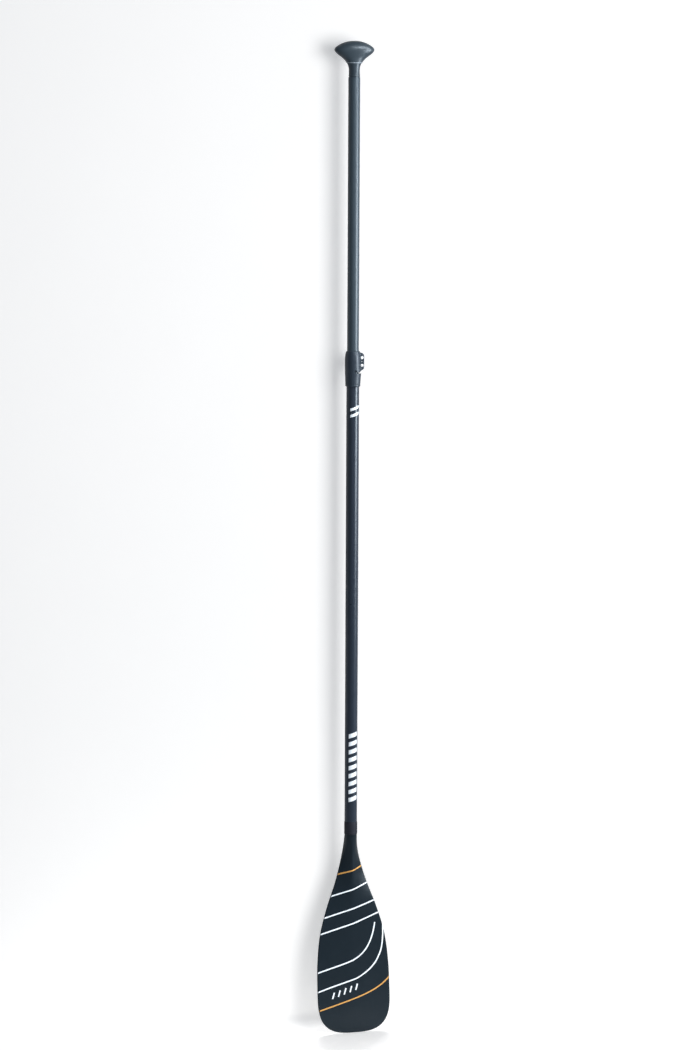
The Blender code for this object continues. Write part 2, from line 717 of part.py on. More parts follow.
def face_sheet(bm, front, inset, thinner, steps):
    """One face of the blade as a sheet of quads. Returns its rim, from the left of the neck round the tip."""
    side = -1 if front else 1
    ribs = blade_ribs()
    rows = []
    spine = {}
    for hand in (-1, 1):
        for x, at, spine_at in ribs:
            reach = math.hypot(x, at - spine_at)
            row = []
            for k, q in enumerate(rib_stations(reach, at, steps)):
                if k == 0 and spine_at in spine:
                    row.append(spine[spine_at])
                    continue
                shrink = (reach - inset) / reach
                down = spine_at + (at - spine_at) * q * shrink
                height = half_thickness(q, reach, down, front) - thinner * (1 - 0.5 * q)
                height = SEAM_HALF if k == steps - 1 else max(height, 2 * SEAM_HALF)
                y = edge_y(down) + side * height
                vert = bm.verts.new((hand * x * q * shrink, y, BLADE_TOP_Z - down))
                row.append(vert)
                if k == 0:
                    spine[spine_at] = vert
            rows.append((hand, row))
    left = [row for hand, row in rows if hand < 0]
    right = [row for hand, row in rows if hand > 0]
    right[-1] = left[-1]
    for half in (left, right):
        for first, second in zip(half, half[1:], strict=False):
            for k in range(steps - 1):
                corners = [first[k], first[k + 1], second[k + 1], second[k]]
                corners = list(dict.fromkeys(corners))
                if len(corners) > 2:
                    bm.faces.new(corners)
    rim = [row[-1] for row in left] + [row[-1] for row in reversed(right[:-1])]
    top = [*reversed(left[0][1:]), left[0][0], *right[0][1:]]
    return rim, top


def close_between(bm, first, second):
    """Joins the open borders of two sheets: down one side, round the tip, up the other, and over the neck."""
    rim_a, top_a = first
    rim_b, top_b = second
    join_rings(bm, [rim_a, rim_b], closed=False)
    join_rings(bm, [top_a, top_b], closed=False)


def clean_body(name, bm, finish):
    loose = [v for v in bm.verts if not v.link_faces]
    bmesh.ops.delete(bm, geom=loose, context="VERTS")
    bmesh.ops.triangulate(bm, faces=bm.faces)
    return add_object(name, bm, finish)


def make_shell(name, front, finish):
    bm = bmesh.new()
    steps = 9
    outer = face_sheet(bm, front, 0.0, 0.0, steps)
    inner = face_sheet(bm, front, SHELL, SHELL, steps)
    close_between(bm, outer, inner)
    clean_body(name, bm, finish)


def make_core(finish):
    """The foam inside the shells, bored for the stub's tenon."""
    bm = bmesh.new()
    steps = 7
    front = face_sheet(bm, True, SHELL + GAP, SHELL + GAP, steps)
    back = face_sheet(bm, False, SHELL + GAP, SHELL + GAP, steps)
    close_between(bm, front, back)
    core = clean_body("blade_core", bm, finish)
    depth = 2 * (TENON_DEPTH + GAP)
    socket = cylinder("core_socket", TENON_R + GAP, depth, (0, 0, FERRULE_BOTTOM_Z), (0, 0, 1))
    boolean(core, socket, "DIFFERENCE")


def main():
    for obj in list(bpy.data.objects):
        bpy.data.objects.remove(obj, do_unlink=True)
    finishes = make_materials()
    make_shafts(finishes)
    make_plugs(finishes)
    make_guide(finishes)
    make_grip(finishes)
    make_collar(finishes)
    make_bolt("clamp_bolt_upper", BOLT_Z[0], finishes["steel"])
    make_bolt("clamp_bolt_lower", BOLT_Z[1], finishes["steel"])
    make_barrel_nut(finishes["steel"])
    make_thrust_plate(finishes["steel"])
    make_lever(finishes["lever"])
    make_blade_joint(finishes)
    make_shell("blade_front_shell", True, finishes["blade"])
    make_shell("blade_back_shell", False, finishes["blade"])
    make_core(finishes["core"])


main()
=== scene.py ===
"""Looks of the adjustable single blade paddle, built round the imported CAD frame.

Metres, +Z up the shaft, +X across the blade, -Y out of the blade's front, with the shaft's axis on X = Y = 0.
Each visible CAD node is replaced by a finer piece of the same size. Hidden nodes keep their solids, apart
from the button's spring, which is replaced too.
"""

import json
import math

import bmesh
import bpy
from mathutils import Matrix, Vector
from mathutils.bvhtree import BVHTree

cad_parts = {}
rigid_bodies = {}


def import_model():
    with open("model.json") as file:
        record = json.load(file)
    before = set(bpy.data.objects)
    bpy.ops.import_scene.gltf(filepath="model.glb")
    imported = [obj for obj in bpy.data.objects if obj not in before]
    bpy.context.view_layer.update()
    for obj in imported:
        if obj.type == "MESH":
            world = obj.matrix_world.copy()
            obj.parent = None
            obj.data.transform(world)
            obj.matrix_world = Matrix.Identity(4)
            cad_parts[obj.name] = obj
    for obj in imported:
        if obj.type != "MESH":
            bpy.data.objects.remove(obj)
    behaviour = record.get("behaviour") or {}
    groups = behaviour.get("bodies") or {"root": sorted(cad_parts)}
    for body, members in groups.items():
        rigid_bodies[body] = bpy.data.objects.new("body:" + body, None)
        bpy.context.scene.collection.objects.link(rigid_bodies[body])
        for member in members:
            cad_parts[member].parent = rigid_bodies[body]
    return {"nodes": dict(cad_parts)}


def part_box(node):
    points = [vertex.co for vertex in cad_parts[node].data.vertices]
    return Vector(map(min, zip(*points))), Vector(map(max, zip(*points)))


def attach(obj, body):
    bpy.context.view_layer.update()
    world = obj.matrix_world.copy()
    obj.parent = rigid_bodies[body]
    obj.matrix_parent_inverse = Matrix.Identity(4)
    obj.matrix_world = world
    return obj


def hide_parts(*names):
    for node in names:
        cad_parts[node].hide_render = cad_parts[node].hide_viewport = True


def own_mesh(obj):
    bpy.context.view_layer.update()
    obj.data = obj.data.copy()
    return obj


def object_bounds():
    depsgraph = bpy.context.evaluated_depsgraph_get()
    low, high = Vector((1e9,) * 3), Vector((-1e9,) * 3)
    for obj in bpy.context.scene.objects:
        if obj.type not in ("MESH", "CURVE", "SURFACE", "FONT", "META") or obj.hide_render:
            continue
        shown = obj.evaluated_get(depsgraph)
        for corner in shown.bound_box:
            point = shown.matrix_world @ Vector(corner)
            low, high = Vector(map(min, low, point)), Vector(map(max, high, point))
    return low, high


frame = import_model()
cad_low, cad_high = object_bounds()

# ---- sizes read from the frame ----
UPPER_LOW, UPPER_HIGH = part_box("upper_shaft")
LOWER_LOW, LOWER_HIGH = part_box("lower_shaft")
COLLAR_LOW, COLLAR_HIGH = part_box("clamp_collar")
FERRULE_LOW, FERRULE_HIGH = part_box("ferrule")
BUTTON_LOW, BUTTON_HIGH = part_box("snap_button")
PLATE_LOW, PLATE_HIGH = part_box("thrust_plate")
NUT_LOW, NUT_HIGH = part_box("barrel_nut")
LEVER_LOW, LEVER_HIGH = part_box("clamp_lever")
_, BLADE_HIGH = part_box("blade_front_shell")

TOP_Z = cad_high.z
TIP_Z = cad_low.z
UPPER_R = UPPER_HIGH.x
LOWER_R = LOWER_HIGH.x
UPPER_BORE_R = UPPER_R - 0.0011
LOWER_BORE_R = LOWER_R - 0.0008
TUBE_EDGE = 0.0004
GAP = 0.0003
ROUND = 128  # segments round a tube

# ---- clamp, measured from the collar's bottom ----
COLLAR_Z = COLLAR_LOW.z
COLLAR_R = 0.0177
COLLAR_FIT = 0.0002
COLLAR_VOXEL = 0.00048  # the remesh that rounds the moulded edges
EAR_ROOT_X = 0.0100
EAR_X = COLLAR_HIGH.x + 0.0008
EAR_HALF_Y = 0.0080
EAR_CORNER_R = 0.0080
EAR_LOW_Z = COLLAR_Z + 0.0350
EAR_HIGH_Z = COLLAR_Z + 0.0746
SHOULDER_Z = COLLAR_Z + 0.0270
SLIT_Z = COLLAR_Z + 0.0297
SLIT_HALF = 0.0014
SLIT_BEND_X = 0.0062
SLIT_WEDGE_X = 0.0105
SLIT_END_X = 0.0300
SLIT_WEDGE = 0.0125
SPLIT_HALF = 0.0015
SPLIT_LENGTH = 0.020
WAIST_R = 0.0018
CUT_MARGIN = 0.002
RELIEF_X = 0.0012
RELIEF_Z = COLLAR_Z + 0.0341
RELIEF_R = 0.0018
FLARE = 0.0012
FLARE_Z = COLLAR_Z + 0.0290
FLARE_SPREAD = 0.0210
BOLT_X = 0.0178
BOLT_Z = (COLLAR_Z + 0.0636, COLLAR_Z + 0.0466)
BOLT_R = 0.0020
BOLT_HOLE_R = 0.00235
BOLT_LENGTH = 0.0260
HEAD_R = 0.0035
HEAD_SIDE = 0.0018
HEAD_DOME = 0.0023
SOCKET_R = 0.00145
SEAT_R = 0.0040
SEAT_Y = -EAR_HALF_Y + 0.0015
PIVOT_Y = 0.0161
CAM_R = 0.0055
CAM_OFFSET = 0.0005
LEVER_INNER_R = COLLAR_R + 0.0007
LEVER_OUTER_R = LEVER_INNER_R + 0.0031
LEVER_END = math.radians(120)
LEVER_TAB = 0.0006
LEVER_VOXEL = 0.00040
LEVER_BORE_R = 0.0039
LEVER_SLOT_HALF = 0.0024
RIB_COUNT = 5
RIB_START_DEGREES = 100
RIB_STEP_DEGREES = 4.2
RIB_R = 0.0009
RIB_LIFT = 0.0007

# ---- blade joint ----
FERRULE_BORE_R = 0.0131
FERRULE_EDGE = 0.0008
BUTTON_R = 0.0032
BUTTON_DOME = 0.0012
BUTTON_HOLE_R = 0.0036
BUTTON_FLANGE_R = 0.0042
BUTTON_FLANGE = 0.0011
SPRING_THICK = 0.0006
SPRING_BEND_R = 0.0030
SPRING_LEG = 0.0045

# ---- blade, the same surface as the CAD shells ----
BLADE_TOP_Z = BLADE_HIGH.z
BLADE_LENGTH = BLADE_TOP_Z - TIP_Z
BLADE_HALF_WIDTH = BLADE_HIGH.x
NECK_R = 0.0137
WIDEST_S = 0.3550  # distance down the blade
CORNER_POWER = 3.1  # squareness of the tip's outline
EDGE_HALF = 0.0019  # half thickness at the edge
EDGE_ROUND = 0.0020
CENTRE_HALF = 0.0040  # half thickness on the spine
NECK_FADE = 0.0950  # where the round neck has become flat
SPINE_FADE = 0.1100  # where the back's spine has sunk in
CANT_FADE = 0.0600
NECK_STRAIGHT = 0.01
RIDGE_BLEND = 0.0030
RIDGE_ROUND = 0.15
TIP_FAN = 0.35  # how far the ribs' roots follow their ends into the tip
SHELL = 0.0012
SEAM_HALF = 0.00015
# (distance down the blade, half width)
SIDE_POINTS = (
    (0.000, NECK_R),
    (0.030, 0.0164),
    (0.065, 0.0238),
    (0.110, 0.0372),
    (0.165, 0.0580),
    (0.225, 0.0752),
    (0.290, 0.0829),
    (WIDEST_S, BLADE_HALF_WIDTH),
)
# (distance down the blade, Y of its edge)
CANT_POINTS = (
    (0.000, 0.0000),
    (0.028, 0.0048),
    (0.060, 0.0040),
    (0.120, -0.0025),
    (BLADE_LENGTH, -0.0385),
)

# ---- prints on the lower shaft ----
PRINT_LIFT = 0.00010
BAR_LEFT = -0.0095
BAR_COUNT = 9
BAR_LOW_Z = -0.5800
BAR_PITCH = 0.0180
BAR_HEIGHT = 0.0095
BAR_RIGHT = 0.0105
BAR_SLANT = 0.30
MARK_LOWS = (0.2800, 0.2940)
MARK_HEIGHT = 0.0062
MARK_RIGHT = 0.0115
MARK_SLANT = 0.35

# ---- printed stripes on the blade: (X, distance down the blade) along each line ----
LINE_WIDTH = 0.0030
LINE_STEP = 0.0015
PRINT_MARGIN = 0.0006
SLIVER_AREA = 2e-8
WHITE_LINES = (
    ((-0.060, 0.1422), (0.002, 0.1243), (0.060, 0.1040)),
    ((-0.080, 0.1905), (0.002, 0.1682), (0.070, 0.1470)),
    ((-0.085, 0.2250), (0.004, 0.2010), (0.080, 0.1740)),
)
ORANGE_LINE = ((-0.045, 0.0950), (0.002, 0.0806), (0.040, 0.0690))
WHITE_SWEEP = (
    (-0.095, 0.3540),
    (-0.056, 0.3420),
    (-0.021, 0.3322),
    (0.007, 0.3240),
    (0.027, 0.3131),
    (0.0425, 0.3010),
    (0.055, 0.2860),
    (0.065, 0.2660),
    (0.070, 0.2430),
    (0.0715, 0.2200),
    (0.0720, 0.1950),
)
INNER_SWEEP = (
    (-0.095, 0.3110),
    (-0.056, 0.3000),
    (-0.022, 0.2905),
    (0.000, 0.2830),
    (0.018, 0.2720),
    (0.032, 0.2575),
    (0.042, 0.2400),
    (0.049, 0.2200),
    (0.053, 0.2020),
)
ORANGE_SWEEP = (
    (-0.095, 0.3960),
    (-0.079, 0.3915),
    (-0.034, 0.3790),
    (0.005, 0.3675),
    (0.030, 0.3590),
    (0.050, 0.3500),
    (0.067, 0.3400),
    (0.080, 0.3290),
    (0.090, 0.3180),
)

# ---- small ticks on the blade ----
TICK_COUNT = 5
TICK_X = -0.048
TICK_DOWN = 0.3600
TICK_STEP_X = 0.0135
TICK_STEP_DOWN = 0.0042
TICK_HALF_X = 0.0022
TICK_HALF_DOWN = 0.0070
TICK_WIDTH = 0.0032

# ---- grip: (depth below the top, half width, half depth) ----
KNOB_SECTIONS = (
    (0.0000, 0.0000, 0.0000),
    (0.0010, 0.0130, 0.0080),
    (0.0030, 0.0212, 0.0118),
    (0.0062, 0.0295, 0.0150),
    (0.0100, 0.0365, 0.0174),
    (0.0140, 0.0420, 0.0189),
    (0.0180, 0.0447, 0.0195),
    (0.0215, 0.0443, 0.0192),
    (0.0250, 0.0420, 0.0185),
    (0.0290, 0.0378, 0.0174),
    (0.0330, 0.0322, 0.0163),
    (0.0370, 0.0266, 0.0153),
    (0.0420, 0.0212, 0.0145),
    (0.0468, 0.0172, 0.0139),
)
NECK_SECTIONS = (
    (0.0473, 0.0168, 0.0138),
    (0.0515, 0.0143, 0.0130),
    (0.0560, 0.0128, 0.0124),
    (0.0610, 0.0121, 0.0120),
    (0.0670, 0.0119, 0.0119),
    (0.0730, 0.0121, 0.0121),
    (0.0762, 0.0124, 0.0124),
    (0.0780, 0.0114, 0.0114),
)
KNOB_POWER = 2.15
NECK_POWER = 2.0
NECK_PLUG_DEPTH = 0.0450
NECK_PLUG_LENGTH = 0.050
SEAM_POWER = 2.10
SEAM_X = 0.0172
SEAM_Y = 0.0139
SEAM_BEAD = (
    (-0.0004, 0.0008),
    (0.0002, 0.0007),
    (0.0003, 0.0),
    (0.0002, -0.0007),
    (-0.0004, -0.0008),
    (-0.002, 0.0),
)

# ---- camera and stage ----
CAMERA_AZIMUTH = math.radians(-17)
CAMERA_DISTANCE = 7.577
CAMERA_HEIGHT = 1.025
CAMERA_AIM = (-0.0045, 0.0014, 0.041)
CAMERA_ROLL = math.radians(0.27)
LENS_MM = 79.09
SENSOR_MM = 24.0
WALL_Y = 0.055
WALL_TOP_Z = 4.0
WALL_HALF_X = 1.1
WALL_GLOW = 0.45
FLOOR_HALF = 9
NEAR_FLOOR_X = 0.9
NEAR_FLOOR_Y = 0.6
FLOOR_GLOW = 0.42
GLOW_NEAR = 1.6
GLOW_FAR = 5.0
ROOM_COLOUR = (0.130, 0.145, 0.165)
COVE_R = 0.030
LIGHT_DISTANCE = 3.0
LIGHT_COLOUR = (0.91, 0.96, 1.0)
STAGE_LIGHT_COLOUR = (1.0, 1.0, 0.995)


# ======== materials ========
class Nodes:
    """Short calls for building one material's node tree."""

    def __init__(self, name):
        self.material = bpy.data.materials.new(name)
        self.material.use_nodes = True
        self.tree = self.material.node_tree
        self.shader = self.tree.nodes["Principled BSDF"]

    def add(self, kind, values=(), **settings):
        made = self.tree.nodes.new(kind)
        for key, value in settings.items():
            setattr(made, key, value)
        for socket, value in dict(values).items():
            if isinstance(value, bpy.types.NodeSocket):
                self.tree.links.new(value, made.inputs[socket])
            else:
                made.inputs[socket].default_value = value
        return made

    def math(self, operation, first, second=0.0):
        return self.add("ShaderNodeMath", {0: first, 1: second}, operation=operation).outputs[0]

    def place(self, stretch=(1.0, 1.0, 1.0)):
        """Object coordinates, stretched."""
        coords = self.add("ShaderNodeTexCoord").outputs["Object"]
        return self.add("ShaderNodeMapping", {"Vector": coords, "Scale": stretch}).outputs[0]

    def noise(self, scale, detail=3.0, stretch=(1.0, 1.0, 1.0)):
        values = {"Vector": self.place(stretch), "Scale": scale, "Detail": detail}
        return self.add("ShaderNodeTexNoise", values).outputs["Fac"]

    def between(self, factor, low, high):
        """The factor, 0.2 to 0.8, spread over low to high."""
        values = {"Value": factor, "From Min": 0.2, "From Max": 0.8, "To Min": low, "To Max": high}
        return self.add("ShaderNodeMapRange", values).outputs[0]

    def blend(self, factor, first, second):
        mix = self.add("ShaderNodeMix", data_type="RGBA")
        for socket, value in ((0, factor), (6, first), (7, second)):
            if isinstance(value, bpy.types.NodeSocket):
                self.tree.links.new(value, mix.inputs[socket])
            else:
                mix.inputs[socket].default_value = (*value, 1.0) if socket else value
        return mix.outputs[2]

    def bump(self, height, distance, strength=1.0):
        values = {"Height": height, "Distance": distance, "Strength": strength}
        return self.add("ShaderNodeBump", values).outputs["Normal"]

    def finish(self, **sockets):
        for key, value in sockets.items():
            socket = self.shader.inputs[key.replace("_", " ")]
            if isinstance(value, bpy.types.NodeSocket):
                self.tree.links.new(value, socket)
            else:
                socket.default_value = value
        return self.material


COOL = (0.86, 0.93, 1.0, 1.0)
WEAVE_R = 0.0135


def shade(colour, factor):
    return tuple(channel * factor for channel in colour)


def moulded(name, colour, roughness, specular=0.5, grain=0.00002, grain_scale=1500.0):
    """Moulded plastic: a fine pebbled skin, slow changes of tone, and uneven gloss."""
    n = Nodes(name)
    tone = n.blend(n.noise(28.0), shade(colour, 0.86), shade(colour, 1.14))
    gloss = n.between(n.noise(70.0, 4.0), roughness - 0.04, roughness + 0.04)
    pebble = n.bump(n.noise(grain_scale, 2.0), grain)
    return n.finish(
        Base_Color=tone, Roughness=gloss, Normal=pebble, Specular_IOR_Level=specular, Specular_Tint=COOL
    )


def woven(name, colour, roughness, tows):
    """A twill-wrapped tube with a satin resin surface and that many tows round it."""
    n = Nodes(name)
    x, y, z = n.add("ShaderNodeSeparateXYZ", {0: n.place()}).outputs
    per_metre = tows / (math.tau * WEAVE_R)
    around = n.math("MULTIPLY", n.math("ARCTAN2", y, x), tows / math.tau)
    along = n.math("MULTIPLY", z, per_metre)
    step = n.math("ADD", n.math("FLOOR", around), n.math("FLOOR", along))
    over = n.math("LESS_THAN", n.math("FLOORED_MODULO", step, 4.0), 2.0)
    hump_a = n.math("PINGPONG", around, 0.5)
    hump_b = n.math("PINGPONG", along, 0.5)
    under = n.math("SUBTRACT", 1.0, over)
    hump = n.math("ADD", n.math("MULTIPLY", over, hump_a), n.math("MULTIPLY", under, hump_b))
    # Over or under gives the twill pattern; the hump term lightens each tow's crown, a painted sheen in the
    # base colour.
    weave_and_painted_sheen = n.math("ADD", n.math("MULTIPLY", over, 0.28), n.math("MULTIPLY", hump, 0.7))
    fibre = n.noise(900.0, 2.0, (1.0, 1.0, 0.12))
    factor = n.math("ADD", n.math("MULTIPLY", weave_and_painted_sheen, 0.8), n.math("MULTIPLY", fibre, 0.35))
    tone = n.blend(factor, shade(colour, 0.80), shade(colour, 1.22))
    gloss = n.between(n.noise(18.0, 2.0), roughness - 0.02, roughness + 0.02)
    return n.finish(Base_Color=tone, Roughness=gloss, Normal=n.bump(hump, 0.000015), Specular_Tint=COOL)


def laminate(name, colour, roughness):
    """The blade's satin skin: faint fibres down its length and a slightly uneven gloss."""
    n = Nodes(name)
    fibre = n.noise(420.0, 3.0, (1.0, 1.0, 0.05))
    cloud = n.noise(14.0, 3.0)
    mixed = n.math("ADD", n.math("MULTIPLY", fibre, 0.45), n.math("MULTIPLY", cloud, 0.55))
    tone = n.blend(mixed, shade(colour, 0.84), shade(colour, 1.16))
    gloss = n.between(n.noise(60.0, 4.0), roughness - 0.03, roughness + 0.03)
    bumps = n.bump(fibre, 0.000012)
    return n.finish(
        Base_Color=tone, Roughness=gloss, Normal=bumps, Specular_IOR_Level=0.34, Specular_Tint=COOL
    )


def paint(name, colour, roughness):
    """Printed paint, a little uneven in tone, with a finely speckled surface."""
    n = Nodes(name)
    tone = n.blend(n.noise(160.0, 4.0), shade(colour, 0.95), colour)
    gloss = n.between(n.noise(300.0), roughness - 0.05, roughness + 0.05)
    return n.finish(Base_Color=tone, Roughness=gloss, Normal=n.bump(n.noise(2400.0), 0.000008))


def steel(name, colour, roughness, metallic=1.0):
    """Bare or plated steel with fine marks in its surface."""
    n = Nodes(name)
    marks = n.noise(2600.0, 3.0)
    tone = n.blend(marks, shade(colour, 0.90), colour)
    gloss = n.between(marks, roughness - 0.06, roughness + 0.08)
    return n.finish(Base_Color=tone, Roughness=gloss, Metallic=metallic, Normal=n.bump(marks, 0.000006))


def foam(name, colour, cell_scale):
    """Closed-cell foam: small round cells that show as pits, each darkened towards its middle with painted
    shade.
    """
    n = Nodes(name)
    cells = n.add("ShaderNodeTexVoronoi", {"Vector": n.place(), "Scale": cell_scale}).outputs["Distance"]
    # Darker at each cell's middle, where the pit sinks: painted shade.
    tone = n.blend(cells, shade(colour, 0.80), colour)
    return n.finish(Base_Color=tone, Roughness=0.9, Normal=n.bump(cells, 0.0003))


FINISHES = {
    "upper_carbon": woven("upper_carbon", (0.034, 0.048, 0.060), 0.36, 40),
    "lower_carbon": woven("lower_carbon", (0.0180, 0.0245, 0.0365), 0.29, 44),
    "grip": moulded("grip_plastic", (0.026, 0.036, 0.045), 0.37),
    "collar": moulded("collar_plastic", (0.018, 0.026, 0.037), 0.41),
    "lever": moulded("lever_plastic", (0.018, 0.022, 0.028), 0.38),
    "ferrule": moulded("ferrule_plastic", (0.0150, 0.0160, 0.0225), 0.58, 0.2),
    "stub": moulded("stub_plastic", (0.020, 0.020, 0.022), 0.50),
    "blade": laminate("blade_laminate", (0.0070, 0.0122, 0.0170), 0.31),
    "white": paint("white_print", (0.80, 0.84, 0.88), 0.45),
    "orange": paint("orange_print", (0.58, 0.29, 0.070), 0.45),
    # A real bead at the grip's joint, but its light grey colour is a painted highlight of the lip's edge.
    "seam": moulded("seam_bead_painted_highlight", (0.23, 0.26, 0.29), 0.40),
    "bush": moulded("guide_nylon", (0.70, 0.70, 0.66), 0.50),
    "steel": steel("brushed_steel", (0.80, 0.80, 0.80), 0.30),
    # Near-white and only a quarter metallic: the bolt heads' bright reflection is painted into their colour.
    "bolt": steel("bolt_painted_reflection", (0.93, 0.93, 0.93), 0.45, 0.25),
    "core": foam("core_foam", (0.72, 0.66, 0.48), 1400.0),
    "plug": foam("plug_foam", (0.50, 0.52, 0.54), 900.0),
}


# ======== mesh helpers ========
def linked(name, data):
    """A new object in the scene that shows the data."""
    obj = bpy.data.objects.new(name, data)
    bpy.context.scene.collection.objects.link(obj)
    return obj


def mesh_object(name, bm):
    """A new object from a bmesh, which is used up."""
    mesh = bpy.data.meshes.new(name)
    bm.to_mesh(mesh)
    bm.free()
    return linked(name, mesh)


def piece(name, bm, finish, body, replaces=(), sharp=35.0):
    """A finished piece that rides on a CAD body and stands for the CAD nodes named."""
    bmesh.ops.recalc_face_normals(bm, faces=bm.faces)
    obj = mesh_object(name, bm)
    obj.data.materials.append(FINISHES[finish])
    obj.data.shade_smooth()
    obj.data.set_sharp_from_angle(angle=math.radians(sharp))
    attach(obj, body)
    if replaces:
        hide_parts(*replaces)
    return obj


def join_rings(bm, rings, closed=True):
    """Faces between each ring of vertices and the next. A shared vertex gives a triangle."""
    for first, second in zip(rings, rings[1:], strict=False):
        count = len(first)
        for i in range(count if closed else count - 1):
            j = (i + 1) % count
            corners = list(dict.fromkeys((first[i], first[j], second[j], second[i])))
            if len(corners) > 2:
                bm.faces.new(corners)


def turned(profile, ring=False, segments=ROUND):
    """A body turned about Z from (radius, height) points: a closed ring, or a solid with capped ends."""
    bm = bmesh.new()
    step = math.tau / segments
    rings = [
        [bm.verts.new((r * math.cos(i * step), r * math.sin(i * step), z)) for i in range(segments)]
        for r, z in profile
    ]
    join_rings(bm, [*rings, rings[0]] if ring else rings)
    if not ring:
        bm.faces.new(rings[0])
        bm.faces.new(rings[-1])
    return bm


def rounded_tube(outer, inner, low, high, edge, count=4):
    """A tube's profile with its outer edges rounded."""
    profile = [(inner, high)]
    for i in range(count + 1):
        angle = math.radians(90) * (1 - i / count)
        profile.append((outer - edge + edge * math.cos(angle), high - edge + edge * math.sin(angle)))
    for i in range(count + 1):
        angle = -math.radians(90) * i / count
        profile.append((outer - edge + edge * math.cos(angle), low + edge + edge * math.sin(angle)))
    profile.append((inner, low))
    return profile


def arc(centre, radius, start, end, count):
    """Points along an arc, both ends included."""
    step = (end - start) / (count - 1)
    return [
        (centre[0] + radius * math.cos(start + i * step), centre[1] + radius * math.sin(start + i * step))
        for i in range(count)
    ]


def helper(bm):
    """A cutter or an addition for a boolean, removed once it is used."""
    bmesh.ops.recalc_face_normals(bm, faces=bm.faces)
    return mesh_object("helper", bm)


def drop_loose(bm):
    loose = [v for v in bm.verts if not v.link_faces]
    bmesh.ops.delete(bm, geom=loose, context="VERTS")


def rod(radius, length, centre, axis, segments=48):
    """A cylinder about its centre, along the axis."""
    bm = bmesh.new()
    bmesh.ops.create_cone(
        bm, cap_ends=True, segments=segments, radius1=radius, radius2=radius, depth=length
    )
    turn = Vector((0, 0, 1)).rotation_difference(Vector(axis)).to_matrix().to_4x4()
    bmesh.ops.transform(bm, matrix=Matrix.Translation(centre) @ turn, verts=bm.verts)
    return bm


def extruded(outline, vector):
    """A flat outline of 3-D points, drawn out by a vector."""
    bm = bmesh.new()
    face = bm.faces.new([bm.verts.new(p) for p in outline])
    made = bmesh.ops.extrude_face_region(bm, geom=[face])
    moved = [item for item in made["geom"] if isinstance(item, bmesh.types.BMVert)]
    bmesh.ops.translate(bm, verts=moved, vec=vector)
    return bm


def combined(bm, steps, remesh=None, smooth=0):
    """The body after booleans (operation, helper mesh) and, where wanted, a remesh that rounds its edges."""
    base = helper(bm)
    others = []
    for operation, other in steps:
        others.append(helper(other))
        change = base.modifiers.new("boolean", "BOOLEAN")
        change.operation = operation
        change.solver = "EXACT"
        change.object = others[-1]
    if remesh:
        change = base.modifiers.new("remesh", "REMESH")
        change.mode = "VOXEL"
        change.voxel_size = remesh
        change = base.modifiers.new("smooth", "SMOOTH")
        change.factor = 0.5
        change.iterations = smooth
    graph = bpy.context.evaluated_depsgraph_get()
    result = bmesh.new()
    result.from_mesh(base.evaluated_get(graph).to_mesh())
    for obj in (base, *others):
        bpy.data.objects.remove(obj, do_unlink=True)
    return result


def round_normals(obj, radius, axis_x=0.0, axis_y=0.0):
    """Shades the faces of a cylinder along Z by its own curve, whatever cuts have done to its mesh."""
    mesh = obj.data
    normals = [None] * len(mesh.loops)
    for face in mesh.polygons:
        for index in face.loop_indices:
            point = mesh.vertices[mesh.loops[index].vertex_index].co
            out = Vector((point.x - axis_x, point.y - axis_y, 0.0))
            on_curve = abs(out.length - radius) < 0.00002 and abs(face.normal.z) < 0.01
            out.normalize()
            normals[index] = out if on_curve and out.dot(face.normal) > 0.9 else face.normal
    mesh.normals_split_custom_set(normals)


# ======== shafts ========
def make_shafts():
    profile = rounded_tube(UPPER_R, UPPER_BORE_R, UPPER_LOW.z, UPPER_HIGH.z, TUBE_EDGE)
    piece("upper_tube", turned(profile, True), "upper_carbon", "handle", ["upper_shaft"])
    profile = rounded_tube(LOWER_R, LOWER_BORE_R, LOWER_LOW.z, LOWER_HIGH.z, TUBE_EDGE)
    button_z = (BUTTON_LOW.z + BUTTON_HIGH.z) / 2
    hole = rod(BUTTON_HOLE_R, 0.010, (0, LOWER_R, button_z), (0, 1, 0))
    bm = combined(turned(profile, True), [("DIFFERENCE", hole)])
    tube = piece("lower_tube", bm, "lower_carbon", "root", ["lower_shaft"])
    round_normals(tube, LOWER_R)


def on_shaft(name, lows, height, right, slant):
    """White slanted bars, wrapped round the lower shaft's front from each low Z up."""
    bm = bmesh.new()
    radius = LOWER_R + PRINT_LIFT
    columns = 16
    for low in lows:
        rows = []
        for z in (low, low + height):
            row = []
            for i in range(columns + 1):
                across = BAR_LEFT + (right - BAR_LEFT) * i / columns
                angle = across / LOWER_R
                rise = slant * (across - BAR_LEFT)
                row.append(bm.verts.new((radius * math.sin(angle), -radius * math.cos(angle), z + rise)))
            rows.append(row)
        join_rings(bm, rows, closed=False)
    made = piece(name, bm, "white", "root")
    round_normals(made, radius)


def make_shaft_prints():
    lows = [BAR_LOW_Z + i * BAR_PITCH for i in range(BAR_COUNT)]
    on_shaft("shaft_bars", lows, BAR_HEIGHT, BAR_RIGHT, BAR_SLANT)
    on_shaft("shaft_mark", MARK_LOWS, MARK_HEIGHT, MARK_RIGHT, MARK_SLANT)


# ======== grip ========
def smooth_through(points, at):
    """A cubic through given points, with slopes from each point's neighbours."""
    count = len(points)
    slopes = []
    for i in range(count):
        before = points[max(i - 1, 0)]
        after = points[min(i + 1, count - 1)]
        slopes.append((after[1] - before[1]) / (after[0] - before[0]))
    for i in range(count - 1):
        low, high = points[i], points[i + 1]
        if at <= high[0] or i == count - 2:
            span = high[0] - low[0]
            t = (at - low[0]) / span
            a = (1 + 2 * t) * (1 - t) ** 2 * low[1] + t * (1 - t) ** 2 * span * slopes[i]
            b = t * t * (3 - 2 * t) * high[1] + t * t * (t - 1) * span * slopes[i + 1]
            return a + b
    return points[-1][1]


